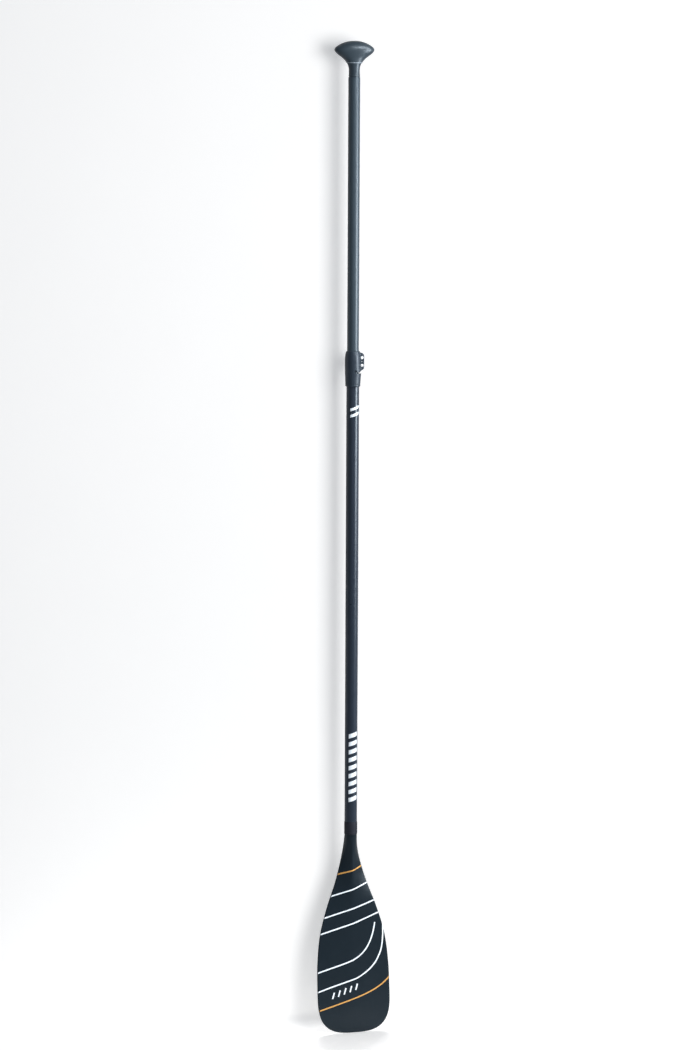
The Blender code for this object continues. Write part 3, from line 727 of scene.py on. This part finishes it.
def oval_ring(bm, half_x, half_y, power, z):
    """Vertices round an ellipse, a little squared where the power is above 2."""
    ring = []
    for i in range(ROUND):
        c = math.cos(math.tau * i / ROUND)
        s = math.sin(math.tau * i / ROUND)
        x = half_x * math.copysign(abs(c) ** (2 / power), c)
        y = half_y * math.copysign(abs(s) ** (2 / power), s)
        ring.append(bm.verts.new((x, y, z)))
    return ring


def grip_loft(sections, power, levels, lips):
    """A smooth loft through the sections, with its two ends turned in by the lips.

    The cubic runs on the depth's square root, so that the domed top comes out round.
    """
    widths = [(math.sqrt(depth), half) for depth, half, _ in sections]
    depths = [(math.sqrt(depth), half) for depth, _, half in sections]
    first, last = widths[0][0], widths[-1][0]
    bm = bmesh.new()
    rings = []
    for k in range(levels + 1):
        u = first + (last - first) * k / levels
        half_x = smooth_through(widths, u)
        half_y = smooth_through(depths, u)
        z = TOP_Z - u * u
        if k == 0 and half_x < 1e-6:
            rings.append([bm.verts.new((0, 0, z))] * ROUND)
            continue
        rings.append(oval_ring(bm, half_x, half_y, power, z))
    for lip, end, sign in ((lips[0], rings[0], 1), (lips[1], rings[-1], -1)):
        if lip:
            inner = []
            for vert in end:
                flat = Vector((vert.co.x, vert.co.y, 0))
                inner.append(bm.verts.new(vert.co - flat.normalized() * lip + Vector((0, 0, sign * lip))))
            if sign > 0:
                rings.insert(0, inner)
            else:
                rings.append(inner)
    join_rings(bm, rings)
    if lips[0]:
        bm.faces.new(rings[0])
    bm.faces.new(rings[-1])
    return bm


def make_grip():
    lip = 0.0002
    knob = grip_loft(KNOB_SECTIONS, KNOB_POWER, 72, (0.0, lip))
    piece("palm_knob", knob, "grip", "handle", ["grip_knob"], 60.0)
    neck = grip_loft(NECK_SECTIONS, NECK_POWER, 36, (lip, 0.0))
    low = UPPER_HIGH.z - NECK_PLUG_DEPTH
    plug = rod(UPPER_BORE_R - GAP, NECK_PLUG_LENGTH, (0, 0, low + NECK_PLUG_LENGTH / 2), (0, 0, 1), ROUND)
    bm = combined(neck, [("UNION", plug)])
    piece("grip_throat", bm, "grip", "handle", ["grip_neck"], 40.0)
    # The bead at the knob's joint; its light grey colour stands for a highlight line, a painted highlight.
    seam_z = TOP_Z - (KNOB_SECTIONS[-1][0] + NECK_SECTIONS[0][0]) / 2
    bm = bmesh.new()
    rings = []
    for grow, rise in SEAM_BEAD:
        rings.append(oval_ring(bm, SEAM_X + grow, SEAM_Y + grow, SEAM_POWER, seam_z + rise))
    join_rings(bm, [*rings, rings[0]])
    piece("grip_seam_painted_highlight", bm, "seam", "handle")


# ======== clamp ========
def collar_profile():
    """(radius, height above the collar's bottom) down the outer side, top to bottom."""
    return (
        (COLLAR_R - 0.0040, 0.0776),
        (COLLAR_R - 0.0031, 0.0774),
        (COLLAR_R - 0.0023, 0.0764),
        (COLLAR_R - 0.0017, 0.0732),
        (COLLAR_R - 0.0008, 0.0690),
        (COLLAR_R - 0.0002, 0.0630),
        (COLLAR_R, 0.0550),
        (COLLAR_R - 0.0002, 0.0400),
        (COLLAR_R - 0.0004, 0.0300),
        (COLLAR_R - 0.0008, 0.0160),
        (COLLAR_R - 0.0011, 0.0056),
        (COLLAR_R - 0.0014, 0.0050),
        (COLLAR_R - 0.0014, 0.0042),
        (COLLAR_R - 0.0010, 0.0036),
        (COLLAR_R - 0.0011, 0.0010),
        (COLLAR_R - 0.0016, 0.0000),
    )


def flared(bm):
    """Swells the sleeve a little towards the ear's side at the height of the slit."""
    for vert in bm.verts:
        radius = math.hypot(vert.co.x, vert.co.y)
        rise = 1 - min(abs(vert.co.z - FLARE_Z) / FLARE_SPREAD, 1.0)
        swell = FLARE * max(vert.co.x / radius, 0.0) * rise * rise * (3 - 2 * rise)
        vert.co.x += swell * vert.co.x / radius
        vert.co.y += swell * vert.co.y / radius
    return bm


def ear_block():
    """The block of the ear, with its two outer corners rounded."""
    r = EAR_CORNER_R
    right = EAR_X - r
    corner = arc((right, EAR_HIGH_Z - r), r, math.radians(90), 0, 16)
    corner += arc((right, EAR_LOW_Z + r), r, 0, math.radians(-90), 16)
    outline = [(EAR_ROOT_X, EAR_HIGH_Z), *corner, (EAR_ROOT_X, EAR_LOW_Z)]
    return extruded([(x, -EAR_HALF_Y, z) for x, z in outline], (0, 2 * EAR_HALF_Y, 0))


def slit():
    """The level slit. It climbs to the relief hole, and opens like a wedge below the ear."""
    half = 0.0008
    outline = [
        (RELIEF_X, RELIEF_Z + half),
        (SLIT_BEND_X + half, SLIT_Z + SLIT_HALF),
        (SLIT_WEDGE_X, SLIT_Z + SLIT_HALF),
        (SLIT_END_X, SLIT_Z + SLIT_WEDGE),
        (SLIT_END_X, SLIT_Z - SLIT_HALF),
        (SLIT_BEND_X - half, SLIT_Z - SLIT_HALF),
        (RELIEF_X, RELIEF_Z - half),
    ]
    return extruded([(x, -0.030, z) for x, z in outline], (0, 0.060, 0))


def collar_bore(top):
    """The bore's cutter: close round the upper shaft, and wider below its shoulder round the lower one."""
    return turned(
        (
            (UPPER_R + COLLAR_FIT, top),
            (UPPER_R + COLLAR_FIT, SHOULDER_Z),
            (LOWER_R + GAP, SHOULDER_Z),
            (LOWER_R + GAP, COLLAR_Z - CUT_MARGIN),
        )
    )


def collar_split(top):
    """The cutter of the upright split, from the slit up through the ear."""
    bm = bmesh.new()
    bmesh.ops.create_cube(bm, size=1.0)
    size = Matrix.Diagonal((SPLIT_LENGTH, 2 * SPLIT_HALF, top - SLIT_Z, 1.0))
    centre = Matrix.Translation((SPLIT_LENGTH, 0, (top + SLIT_Z) / 2))
    bmesh.ops.transform(bm, matrix=centre @ size, verts=bm.verts)
    return bm


def make_collar():
    top = COLLAR_HIGH.z + CUT_MARGIN
    across = (0, 1, 0)
    seat_depth = 0.007
    steps = [("UNION", ear_block()), ("DIFFERENCE", collar_bore(top))]
    steps += [("DIFFERENCE", collar_split(top)), ("DIFFERENCE", slit())]
    steps.append(("DIFFERENCE", rod(RELIEF_R, 0.060, (RELIEF_X, 0, RELIEF_Z), across)))
    for z in BOLT_Z:
        steps.append(("DIFFERENCE", rod(BOLT_HOLE_R, 0.040, (BOLT_X, 0, z), across)))
        steps.append(("DIFFERENCE", rod(SEAT_R, seat_depth, (BOLT_X, SEAT_Y - seat_depth / 2, z), across)))
    waist = rod(WAIST_R, 0.010, (BOLT_X, -EAR_HALF_Y, sum(BOLT_Z) / 2), (0, 0, 1), 6)
    steps.append(("DIFFERENCE", waist))
    profile = [(r, COLLAR_Z + z) for r, z in collar_profile()]
    bm = combined(flared(turned(profile)), steps, remesh=COLLAR_VOXEL, smooth=5)
    piece("collar", bm, "collar", "root", ["clamp_collar"], 75.0)


def socket_bolt():
    """A domed socket head on a plain shank, along -Z from its seat, with a six-sided socket."""
    head = [(BOLT_R, -BOLT_LENGTH), (BOLT_R, 0.0), (HEAD_R, 0.0), (HEAD_R, HEAD_SIDE)]
    for i in range(1, 9):
        angle = math.radians(70) * i / 8
        head.append((HEAD_R * math.cos(angle), HEAD_SIDE + HEAD_DOME * math.sin(angle)))
    bm = turned(head, segments=64)
    recess = rod(SOCKET_R, 0.004, (0, 0, 0.0040), (0, 0, 1), 6)
    return combined(bm, [("DIFFERENCE", recess)])


def faced(bm, place, degrees):
    """Turns a body made along Z about X, so that its top looks along -Y at 90 or +Y at -90, and moves it."""
    turn = Matrix.Translation(place) @ Matrix.Rotation(math.radians(degrees), 4, "X")
    bmesh.ops.transform(bm, matrix=turn, verts=bm.verts)
    return bm


def make_bolts():
    for name, z in zip(("upper", "lower"), BOLT_Z, strict=True):
        bm = faced(socket_bolt(), (BOLT_X, SEAT_Y - GAP, z), 90)
        piece(f"bolt_{name}", bm, "bolt", "root", [f"clamp_bolt_{name}"], 30.0)


def make_ear_pin():
    """The small domed pin between the bolts."""
    bm = turned([(0.0001, 0.0016), (0.0006, 0.0014), (0.0009, 0.0008), (0.0009, -0.002)], segments=32)
    bm = faced(bm, (BOLT_X, -EAR_HALF_Y + 0.0008, sum(BOLT_Z) / 2), 90)
    piece("ear_pin", bm, "steel", "root")


def make_pivot_nut():
    nut_r = (NUT_HIGH.x - NUT_LOW.x) / 2
    nut_x = (NUT_HIGH.x + NUT_LOW.x) / 2
    nut_y = (NUT_HIGH.y + NUT_LOW.y) / 2
    edge = 0.0004
    profile = [(nut_r - edge, NUT_HIGH.z), (nut_r, NUT_HIGH.z - edge)]
    profile += [(nut_r, NUT_LOW.z + edge), (nut_r - edge, NUT_LOW.z)]
    bm = turned(profile, segments=64)
    bmesh.ops.translate(bm, verts=bm.verts, vec=(nut_x, nut_y, 0))
    steps = [("DIFFERENCE", rod(BOLT_R + GAP, 0.020, (nut_x, nut_y, z), (0, 1, 0))) for z in BOLT_Z]
    nut = piece("pivot_nut", combined(bm, steps), "steel", "root", ["barrel_nut"])
    round_normals(nut, nut_r, nut_x, nut_y)


def make_cam_plate():
    outline = [(PLATE_LOW.x, PLATE_LOW.y, PLATE_LOW.z), (PLATE_HIGH.x, PLATE_LOW.y, PLATE_LOW.z)]
    outline += [(PLATE_HIGH.x, PLATE_LOW.y, PLATE_HIGH.z), (PLATE_LOW.x, PLATE_LOW.y, PLATE_HIGH.z)]
    bm = extruded(outline, (0, PLATE_HIGH.y - PLATE_LOW.y, 0))
    bmesh.ops.bevel(bm, geom=bm.edges[:], offset=0.00025, segments=2, affect="EDGES")
    steps = [("DIFFERENCE", rod(BOLT_HOLE_R, 0.010, (BOLT_X, PLATE_LOW.y, z), (0, 1, 0))) for z in BOLT_Z]
    piece("cam_plate", combined(bm, steps), "steel", "root", ["thrust_plate"])


def lever_outline():
    """The lever's arm seen from above: an arc round the collar, a thumb tab and a fuller outer curve."""
    inner = arc((0, 0), LEVER_INNER_R, math.radians(50), LEVER_END, 28)
    end = arc((0, 0), LEVER_OUTER_R + LEVER_TAB, LEVER_END + math.radians(1), math.radians(114), 8)
    outer = arc((0, 0), LEVER_OUTER_R, math.radians(108), math.radians(78), 14)
    shoulder = [(0.0085, 0.0212), (0.0130, 0.0217), (BOLT_X, PIVOT_Y + CAM_R)]
    root = [(BOLT_X, PIVOT_Y), (BOLT_X - 0.0036, PIVOT_Y - 0.0034)]
    return [*inner, *end, *outer, *shoulder, *root]


def make_lever():
    low, high = LEVER_LOW.z, LEVER_HIGH.z
    middle = (low + high) / 2
    upright = (0, 0, 1)
    bm = extruded([(x, y, low) for x, y in lever_outline()], (0, 0, high - low))
    steps = []
    levels = [low]
    for z in sorted(BOLT_Z):
        levels += [z - LEVER_SLOT_HALF, z + LEVER_SLOT_HALF]
    levels.append(high)
    for bottom, top in zip(levels[::2], levels[1::2], strict=True):
        cam = rod(CAM_R, top - bottom, (BOLT_X, PIVOT_Y - CAM_OFFSET, (bottom + top) / 2), upright, 64)
        steps.append(("UNION", cam))
    steps.append(("DIFFERENCE", rod(LEVER_BORE_R, 0.060, (BOLT_X, PIVOT_Y, middle), upright, 64)))
    for i in range(RIB_COUNT):
        angle = math.radians(RIB_START_DEGREES + RIB_STEP_DEGREES * i)
        reach = LEVER_OUTER_R + RIB_LIFT
        place = (reach * math.cos(angle), reach * math.sin(angle), middle)
        steps.append(("DIFFERENCE", rod(RIB_R, high - low - 0.010, place, upright, 24)))
    bm = combined(bm, steps, remesh=LEVER_VOXEL, smooth=4)
    piece("lever_arm", bm, "lever", "lever", ["clamp_lever"], 75.0)


# ======== blade joint ========
def make_blade_joint():
    profile = rounded_tube(FERRULE_HIGH.x, FERRULE_BORE_R, FERRULE_LOW.z, FERRULE_HIGH.z, FERRULE_EDGE)
    piece("stop_collar", turned(profile, True), "ferrule", "root", ["ferrule"])
    flange_y = BUTTON_LOW.y + BUTTON_FLANGE
    dome = [(BUTTON_FLANGE_R, BUTTON_LOW.y), (BUTTON_FLANGE_R, flange_y), (BUTTON_R, flange_y)]
    for i in range(10):
        angle = math.radians(86) * i / 9
        rise = BUTTON_HIGH.y - BUTTON_DOME + BUTTON_DOME * math.sin(angle)
        dome.append((BUTTON_R * math.cos(angle), rise))
    button_z = (BUTTON_LOW.z + BUTTON_HIGH.z) / 2
    bm = faced(turned(dome, segments=64), (0, 0, button_z), -90)
    piece("lock_button", bm, "steel", "button", ["snap_button"], 30.0)
    make_leaf_spring(button_z)


def make_leaf_spring(button_z):
    """The strip behind the button, with two legs and a round bend."""
    low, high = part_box("button_spring")
    thick = SPRING_THICK
    legs_z = button_z - SPRING_LEG
    bend = ((low.y + high.y) / 2, low.z + SPRING_BEND_R)
    outer = [(high.y, high.z), (high.y, legs_z), *arc(bend, SPRING_BEND_R, 0, -math.pi, 24)]
    outer += [(low.y, legs_z), (low.y, high.z)]
    inner = [(low.y + thick, high.z), (low.y + thick, legs_z)]
    inner += arc(bend, SPRING_BEND_R - thick, -math.pi, 0, 24)
    inner += [(high.y - thick, legs_z), (high.y - thick, high.z)]
    bm = extruded([(low.x, y, z) for y, z in outer + inner], (high.x - low.x, 0, 0))
    leaf = piece("leaf_spring", bm, "steel", "root", ["button_spring"], 25.0)
    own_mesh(leaf)


# ======== blade ========
def fade(at, length):
    """1 at the neck, easing to 0 at the given distance down the blade."""
    t = min(max(at / length, 0.0), 1.0)
    return 1 - t * t * (3 - 2 * t)


def smooth_max(a, b, radius):
    """The larger of two numbers, with the corner where they cross rounded."""
    return (a + b + math.sqrt((a - b) ** 2 + radius**2)) / 2


def edge_y(at):
    """Y of the blade's edge surface, which its cant gives, at a distance down the blade."""
    return smooth_through(CANT_POINTS, at)


def half_width(at):
    """Half the blade's width at a distance down it."""
    if at <= WIDEST_S:
        return smooth_through(SIDE_POINTS, max(at, 0.0))
    down = min((at - WIDEST_S) / (BLADE_LENGTH - WIDEST_S), 1.0)
    return BLADE_HALF_WIDTH * (1 - down**CORNER_POWER) ** (1 / CORNER_POWER)


def blade_ribs(side_steps=64, corner_steps=44):
    """(edge X, edge distance, spine distance) of each rib of one half, from the neck to the tip."""
    ribs = []
    for i in range(side_steps):
        at = WIDEST_S * (i / side_steps) ** 1.15
        ribs.append((smooth_through(SIDE_POINTS, at), at, at))
    cap = BLADE_LENGTH - WIDEST_S
    for i in range(corner_steps + 1):
        angle = math.radians(90) * i / corner_steps
        x = BLADE_HALF_WIDTH * math.cos(angle) ** (2 / CORNER_POWER) if i < corner_steps else 0.0
        down = cap * math.sin(angle) ** (2 / CORNER_POWER)
        ribs.append((x, WIDEST_S + down, WIDEST_S + TIP_FAN * cap * math.sin(angle)))
    return ribs


def half_thickness(q, reach, at, front):
    """Height of one face above the edges' surface at q, from 0 on the spine to 1 at the edge."""
    round_part = fade(at, NECK_FADE)
    if front:
        centre = smooth_max(edge_y(at) + NECK_R, CENTRE_HALF, RIDGE_BLEND)
        if at < NECK_STRAIGHT:
            centre = NECK_R + edge_y(at)
    else:
        spine = CENTRE_HALF + (NECK_R - CENTRE_HALF) * fade(at, SPINE_FADE)
        centre = spine - edge_y(at) * fade(at, CANT_FADE)
    side = EDGE_HALF * (1 - round_part)
    inward = min((1 - q) * reach / EDGE_ROUND, 1.0)
    side *= math.sqrt(max(1 - (1 - inward) ** 2, 0.0))
    span = math.sqrt(1 + RIDGE_ROUND**2) - RIDGE_ROUND
    tent = 1 - (math.sqrt(q * q + RIDGE_ROUND**2) - RIDGE_ROUND) / span
    shape = round_part * math.sqrt(max(1 - q * q, 0.0)) + (1 - round_part) * tent
    return side + (centre - EDGE_HALF * (1 - round_part)) * shape


def rib_stations(reach, at, steps):
    """Places along a rib, closer together at the edge."""
    round_part = fade(at, NECK_FADE)
    near_edge = [1 - EDGE_ROUND * share / reach for share in (1.0, 0.65, 0.38, 0.18, 0.05, 0.0)]
    inside = steps - len(near_edge)
    stations = []
    for k in range(steps):
        bent = math.sin(math.radians(90) * k / (steps - 1))
        flat = near_edge[0] * k / inside if k < inside else near_edge[k - inside]
        stations.append(round_part * bent + (1 - round_part) * flat)
    return stations


def face_sheet(bm, front, inset, thinner, steps):
    """One face of the blade. Returns its rim, from the left of the neck round the tip, and its top edge."""
    side = -1 if front else 1
    halves = {-1: [], 1: []}
    spine = {}
    for hand, rows in halves.items():
        for x, at, spine_at in blade_ribs():
            reach = math.hypot(x, at - spine_at)
            shrink = (reach - inset) / reach
            row = []
            for k, q in enumerate(rib_stations(reach, at, steps)):
                if k == 0 and spine_at in spine:
                    row.append(spine[spine_at])
                    continue
                down = spine_at + (at - spine_at) * q * shrink
                height = half_thickness(q, reach, down, front) - thinner * (1 - 0.5 * q)
                height = SEAM_HALF if k == steps - 1 else max(height, 2 * SEAM_HALF)
                vert = bm.verts.new((hand * x * q * shrink, edge_y(down) + side * height, BLADE_TOP_Z - down))
                row.append(vert)
                if k == 0:
                    spine[spine_at] = vert
            rows.append(row)
    left, right = halves[-1], halves[1]
    right[-1] = left[-1]
    for half in (left, right):
        join_rings(bm, half, closed=False)
    rim = [row[-1] for row in left] + [row[-1] for row in reversed(right[:-1])]
    top = [*reversed(left[0][1:]), left[0][0], *right[0][1:]]
    return rim, top


def make_skin(name, front, replaced):
    """One closed shell of the blade: an outer sheet, an inner one, and the strips that join their borders."""
    bm = bmesh.new()
    steps = 30
    outer = face_sheet(bm, front, 0.0, 0.0, steps)
    inner = face_sheet(bm, front, SHELL, SHELL, steps)
    for a, b in zip(outer, inner, strict=True):
        join_rings(bm, [a, b], closed=False)
    drop_loose(bm)
    return piece(name, bm, "blade", "root", [replaced], 50.0)


def on_span(a, b, c, d, t):
    """One coordinate on the smooth span from b to c, whose neighbours are a and d."""
    square = 2 * a - 5 * b + 4 * c - d
    cube = 3 * b - a - 3 * c + d
    return 0.5 * (2 * b + (c - a) * t + square * t * t + cube * t**3)


def along(points):
    """Evenly spaced points on a smooth curve through given points, found span by span."""
    found = []
    for i in range(len(points) - 1):
        span = [points[min(max(j, 0), len(points) - 1)] for j in (i - 1, i, i + 1, i + 2)]
        steps = max(int(math.dist(span[1], span[2]) / LINE_STEP), 1)
        for k in range(steps):
            found.append(tuple(on_span(*values, k / steps) for values in zip(*span, strict=True)))
    return [*found, points[-1]]


def straight(points):
    """Evenly spaced points on the straight spans between given points."""
    found = []
    for first, second in zip(points, points[1:], strict=False):
        steps = max(int(math.dist(first, second) / LINE_STEP), 1)
        for k in range(steps):
            found.append(tuple(a + (b - a) * k / steps for a, b in zip(first, second, strict=True)))
    return [*found, points[-1]]


def print_strip(bm, surface, path, width=LINE_WIDTH):
    """A printed line laid on the blade's front and trimmed at its outline."""
    rows = []
    count = 3
    for i, (x, down) in enumerate(path):
        before = path[max(i - 1, 0)]
        after = path[min(i + 1, len(path) - 1)]
        run = Vector((after[0] - before[0], after[1] - before[1])).normalized()
        row = []
        for k in range(count + 1):
            offset = width * (k / count - 0.5)
            across = x - run.y * offset
            at = down + run.x * offset
            limit = half_width(at) - PRINT_MARGIN
            across = min(max(across, -limit), limit)
            hit = surface.ray_cast(Vector((across, -0.2, BLADE_TOP_Z - at)), Vector((0, 1, 0)))
            y = hit[0].y - PRINT_LIFT if hit[0] else edge_y(at) - PRINT_LIFT
            row.append(bm.verts.new((across, y, BLADE_TOP_Z - at)))
        rows.append(row)
    join_rings(bm, rows, closed=False)


def finish_print(name, bm, finish):
    """The printed lines as a piece, without the slivers that the trimming leaves."""
    thin = [face for face in bm.faces if face.calc_area() < SLIVER_AREA]
    bmesh.ops.delete(bm, geom=thin, context="FACES")
    drop_loose(bm)
    piece(name, bm, finish, "root")


def make_blade():
    front = make_skin("blade_front", True, "blade_front_shell")
    make_skin("blade_back", False, "blade_back_shell")
    surface = BVHTree.FromObject(front, bpy.context.evaluated_depsgraph_get())
    bm = bmesh.new()
    for line in WHITE_LINES:
        print_strip(bm, surface, straight(line))
    print_strip(bm, surface, along(WHITE_SWEEP))
    print_strip(bm, surface, along(INNER_SWEEP))
    finish_print("white_lines", bm, "white")
    bm = bmesh.new()
    print_strip(bm, surface, straight(ORANGE_LINE))
    print_strip(bm, surface, along(ORANGE_SWEEP))
    finish_print("orange_lines", bm, "orange")
    bm = bmesh.new()
    for i in range(TICK_COUNT):
        x = TICK_X + i * TICK_STEP_X
        down = TICK_DOWN - i * TICK_STEP_DOWN
        tick = [(x - TICK_HALF_X, down + TICK_HALF_DOWN), (x + TICK_HALF_X, down - TICK_HALF_DOWN)]
        print_strip(bm, surface, straight(tick), TICK_WIDTH)
    finish_print("small_ticks", bm, "white")


# ======== hidden CAD nodes ========
def dress_hidden_nodes():
    """A material for each CAD node that keeps its own shape."""
    looks = {
        "upper_float_plug": "plug",
        "lower_float_plug": "plug",
        "stub_plug": "plug",
        "shaft_end_plug": "stub",
        "blade_stub": "stub",
        "guide_bush": "bush",
        "bush_washer": "steel",
        "bush_screw": "steel",
        "blade_core": "core",
    }
    for node, finish in looks.items():
        for used in frame["nodes"][node].material_slots:
            used.material = FINISHES[finish]


# ======== stage, lights and camera ========
def stage_white(name, glow, one_sided, glow_for_all=False):
    """A white surface with a glow, which lights other things only where asked.

    A one-sided one is clear from behind. The others glow more far away, which hides the horizon.
    """
    n = Nodes(name)
    speck = n.noise(9.0, 2.0)
    seen = 1.0 if glow_for_all else n.add("ShaderNodeLightPath").outputs["Is Camera Ray"]
    if not one_sided:
        away = n.add("ShaderNodeVectorMath", {0: n.place()}, operation="LENGTH").outputs["Value"]
        values = {"Value": away, "From Min": GLOW_NEAR, "From Max": GLOW_FAR, "To Min": glow, "To Max": 1.0}
        glow = n.add("ShaderNodeMapRange", values).outputs[0]
    n.finish(
        Base_Color=n.blend(speck, (0.805, 0.80, 0.795), (0.825, 0.82, 0.815)),
        Roughness=0.95,
        Specular_IOR_Level=0.0,
        Emission_Color=(1.0, 1.0, 1.0, 1.0),
        Emission_Strength=n.math("MULTIPLY", glow, seen),
    )
    if one_sided:
        clear = n.add("ShaderNodeBsdfTransparent")
        back = n.add("ShaderNodeNewGeometry").outputs["Backfacing"]
        mix = n.add("ShaderNodeMixShader", {0: back, 1: n.shader.outputs[0], 2: clear.outputs[0]})
        n.tree.links.new(mix.outputs[0], n.tree.nodes["Material Output"].inputs["Surface"])
    return n.material


def stage_sheet(name, profile, half_x, material):
    """A sheet swept along X from (Y, Z) points."""
    bm = bmesh.new()
    rows = [[bm.verts.new((x, y, z)) for y, z in profile] for x in (-half_x, half_x)]
    join_rings(bm, rows, closed=False)
    obj = mesh_object(name, bm)
    obj.data.materials.append(material)
    obj.data.shade_smooth()
    return obj


def area_light(name, receivers, azimuth, low, high, width, watts, tilt=0, glossy=True, colour=LIGHT_COLOUR):
    """A soft light on its receivers only, which faces the shaft from an azimuth and tips down by the tilt."""
    data = bpy.data.lights.new(name, "AREA")
    data.shape = "RECTANGLE"
    data.size = width
    data.size_y = high - low
    data.energy = watts
    data.color = colour
    obj = linked(name, data)
    angle = math.radians(azimuth)
    place = (LIGHT_DISTANCE * math.sin(angle), -LIGHT_DISTANCE * math.cos(angle))
    obj.location = (*place, (low + high) / 2)
    obj.rotation_euler = (math.radians(90 - tilt), 0, angle)
    obj.visible_camera = False
    obj.visible_glossy = glossy
    obj.light_linking.receiver_collection = receivers


def make_stage():
    """The floor, a brighter patch of it under the tip, and a backdrop close behind. Returns all three."""
    floor_z = TIP_Z - GAP
    white = stage_white("floor_white", FLOOR_GLOW, False)
    floor = stage_sheet("floor", [(-FLOOR_HALF, floor_z), (FLOOR_HALF, floor_z)], FLOOR_HALF, white)
    floor.visible_diffuse = False
    floor.visible_glossy = False
    bright = stage_white("near_floor_white", FLOOR_GLOW, False, True)
    near_z = floor_z + 0.0001
    near_profile = [(-NEAR_FLOOR_Y, near_z), (NEAR_FLOOR_Y, near_z)]
    near_floor = stage_sheet("near_floor", near_profile, NEAR_FLOOR_X, bright)
    cove = arc((WALL_Y - COVE_R, floor_z + COVE_R), COVE_R, math.radians(-90), 0, 12)
    cove = [(y, z + 0.0002) for y, z in cove]
    profile = [(WALL_Y, WALL_TOP_Z), *reversed(cove)]
    wall = stage_sheet("backdrop", profile, WALL_HALF_X, stage_white("wall_white", WALL_GLOW, True))
    wall.visible_shadow = False
    return floor, near_floor, wall


def make_lights(sheets):
    """Two soft lights for the stage's sheets, and four for the paddle."""
    stage = bpy.data.collections.new("stage")
    for obj in sheets:
        stage.objects.link(obj)
    paddle = bpy.data.collections.new("paddle")
    for obj in bpy.context.scene.objects:
        if obj.type == "MESH" and obj not in sheets:
            paddle.objects.link(obj)
    for collection in (stage, paddle):
        bpy.context.scene.collection.children.link(collection)
    area_light("stage_key", stage, 25, -0.2, 1.8, 1.8, 66.0, tilt=15, colour=STAGE_LIGHT_COLOUR)
    area_light("stage_back", stage, 163, 3.0, 4.6, 1.8, 170.0, tilt=58, colour=STAGE_LIGHT_COLOUR)
    area_light("side_softbox", paddle, 54, -0.28, 1.22, 1.30, 118.0)
    area_light("top_softbox", paddle, 40, 1.9, 3.1, 2.6, 150.0, tilt=25)
    area_light("rear_softbox", paddle, 168, -0.5, 1.6, 1.2, 110.0)
    area_light("front_fill", paddle, -12, -0.2, 1.4, 1.6, 30.0, glossy=False)


def make_world():
    """White to the eye, and a dim even room for the light that falls on things."""
    world = bpy.data.worlds.new("room")
    bpy.context.scene.world = world
    world.use_nodes = True
    tree = world.node_tree
    background = tree.nodes["Background"]
    path = tree.nodes.new("ShaderNodeLightPath")
    mix = tree.nodes.new("ShaderNodeMix")
    mix.data_type = "RGBA"
    mix.inputs[6].default_value = (*ROOM_COLOUR, 1.0)
    mix.inputs[7].default_value = (1.0, 1.0, 1.0, 1.0)
    tree.links.new(path.outputs["Is Camera Ray"], mix.inputs[0])
    tree.links.new(mix.outputs[2], background.inputs["Color"])


def make_camera():
    data = bpy.data.cameras.new("camera")
    data.sensor_fit = "VERTICAL"
    data.sensor_height = SENSOR_MM
    data.lens = LENS_MM
    camera = linked("camera", data)
    back = Vector((math.sin(CAMERA_AZIMUTH), -math.cos(CAMERA_AZIMUTH), 0.0)) * CAMERA_DISTANCE
    camera.location = back + Vector((0, 0, CAMERA_HEIGHT))
    look = (Vector(CAMERA_AIM) - camera.location).to_track_quat("-Z", "Y")
    camera.rotation_euler = (look.to_matrix() @ Matrix.Rotation(CAMERA_ROLL, 3, "Z")).to_euler()
    bpy.context.scene.camera = camera


make_shafts()
make_shaft_prints()
make_grip()
make_collar()
make_bolts()
make_ear_pin()
make_pivot_nut()
make_cam_plate()
make_lever()
make_blade_joint()
make_blade()
dress_hidden_nodes()
make_camera()
make_lights(make_stage())
make_world()
bpy.context.scene.view_settings.view_transform = "Standard"
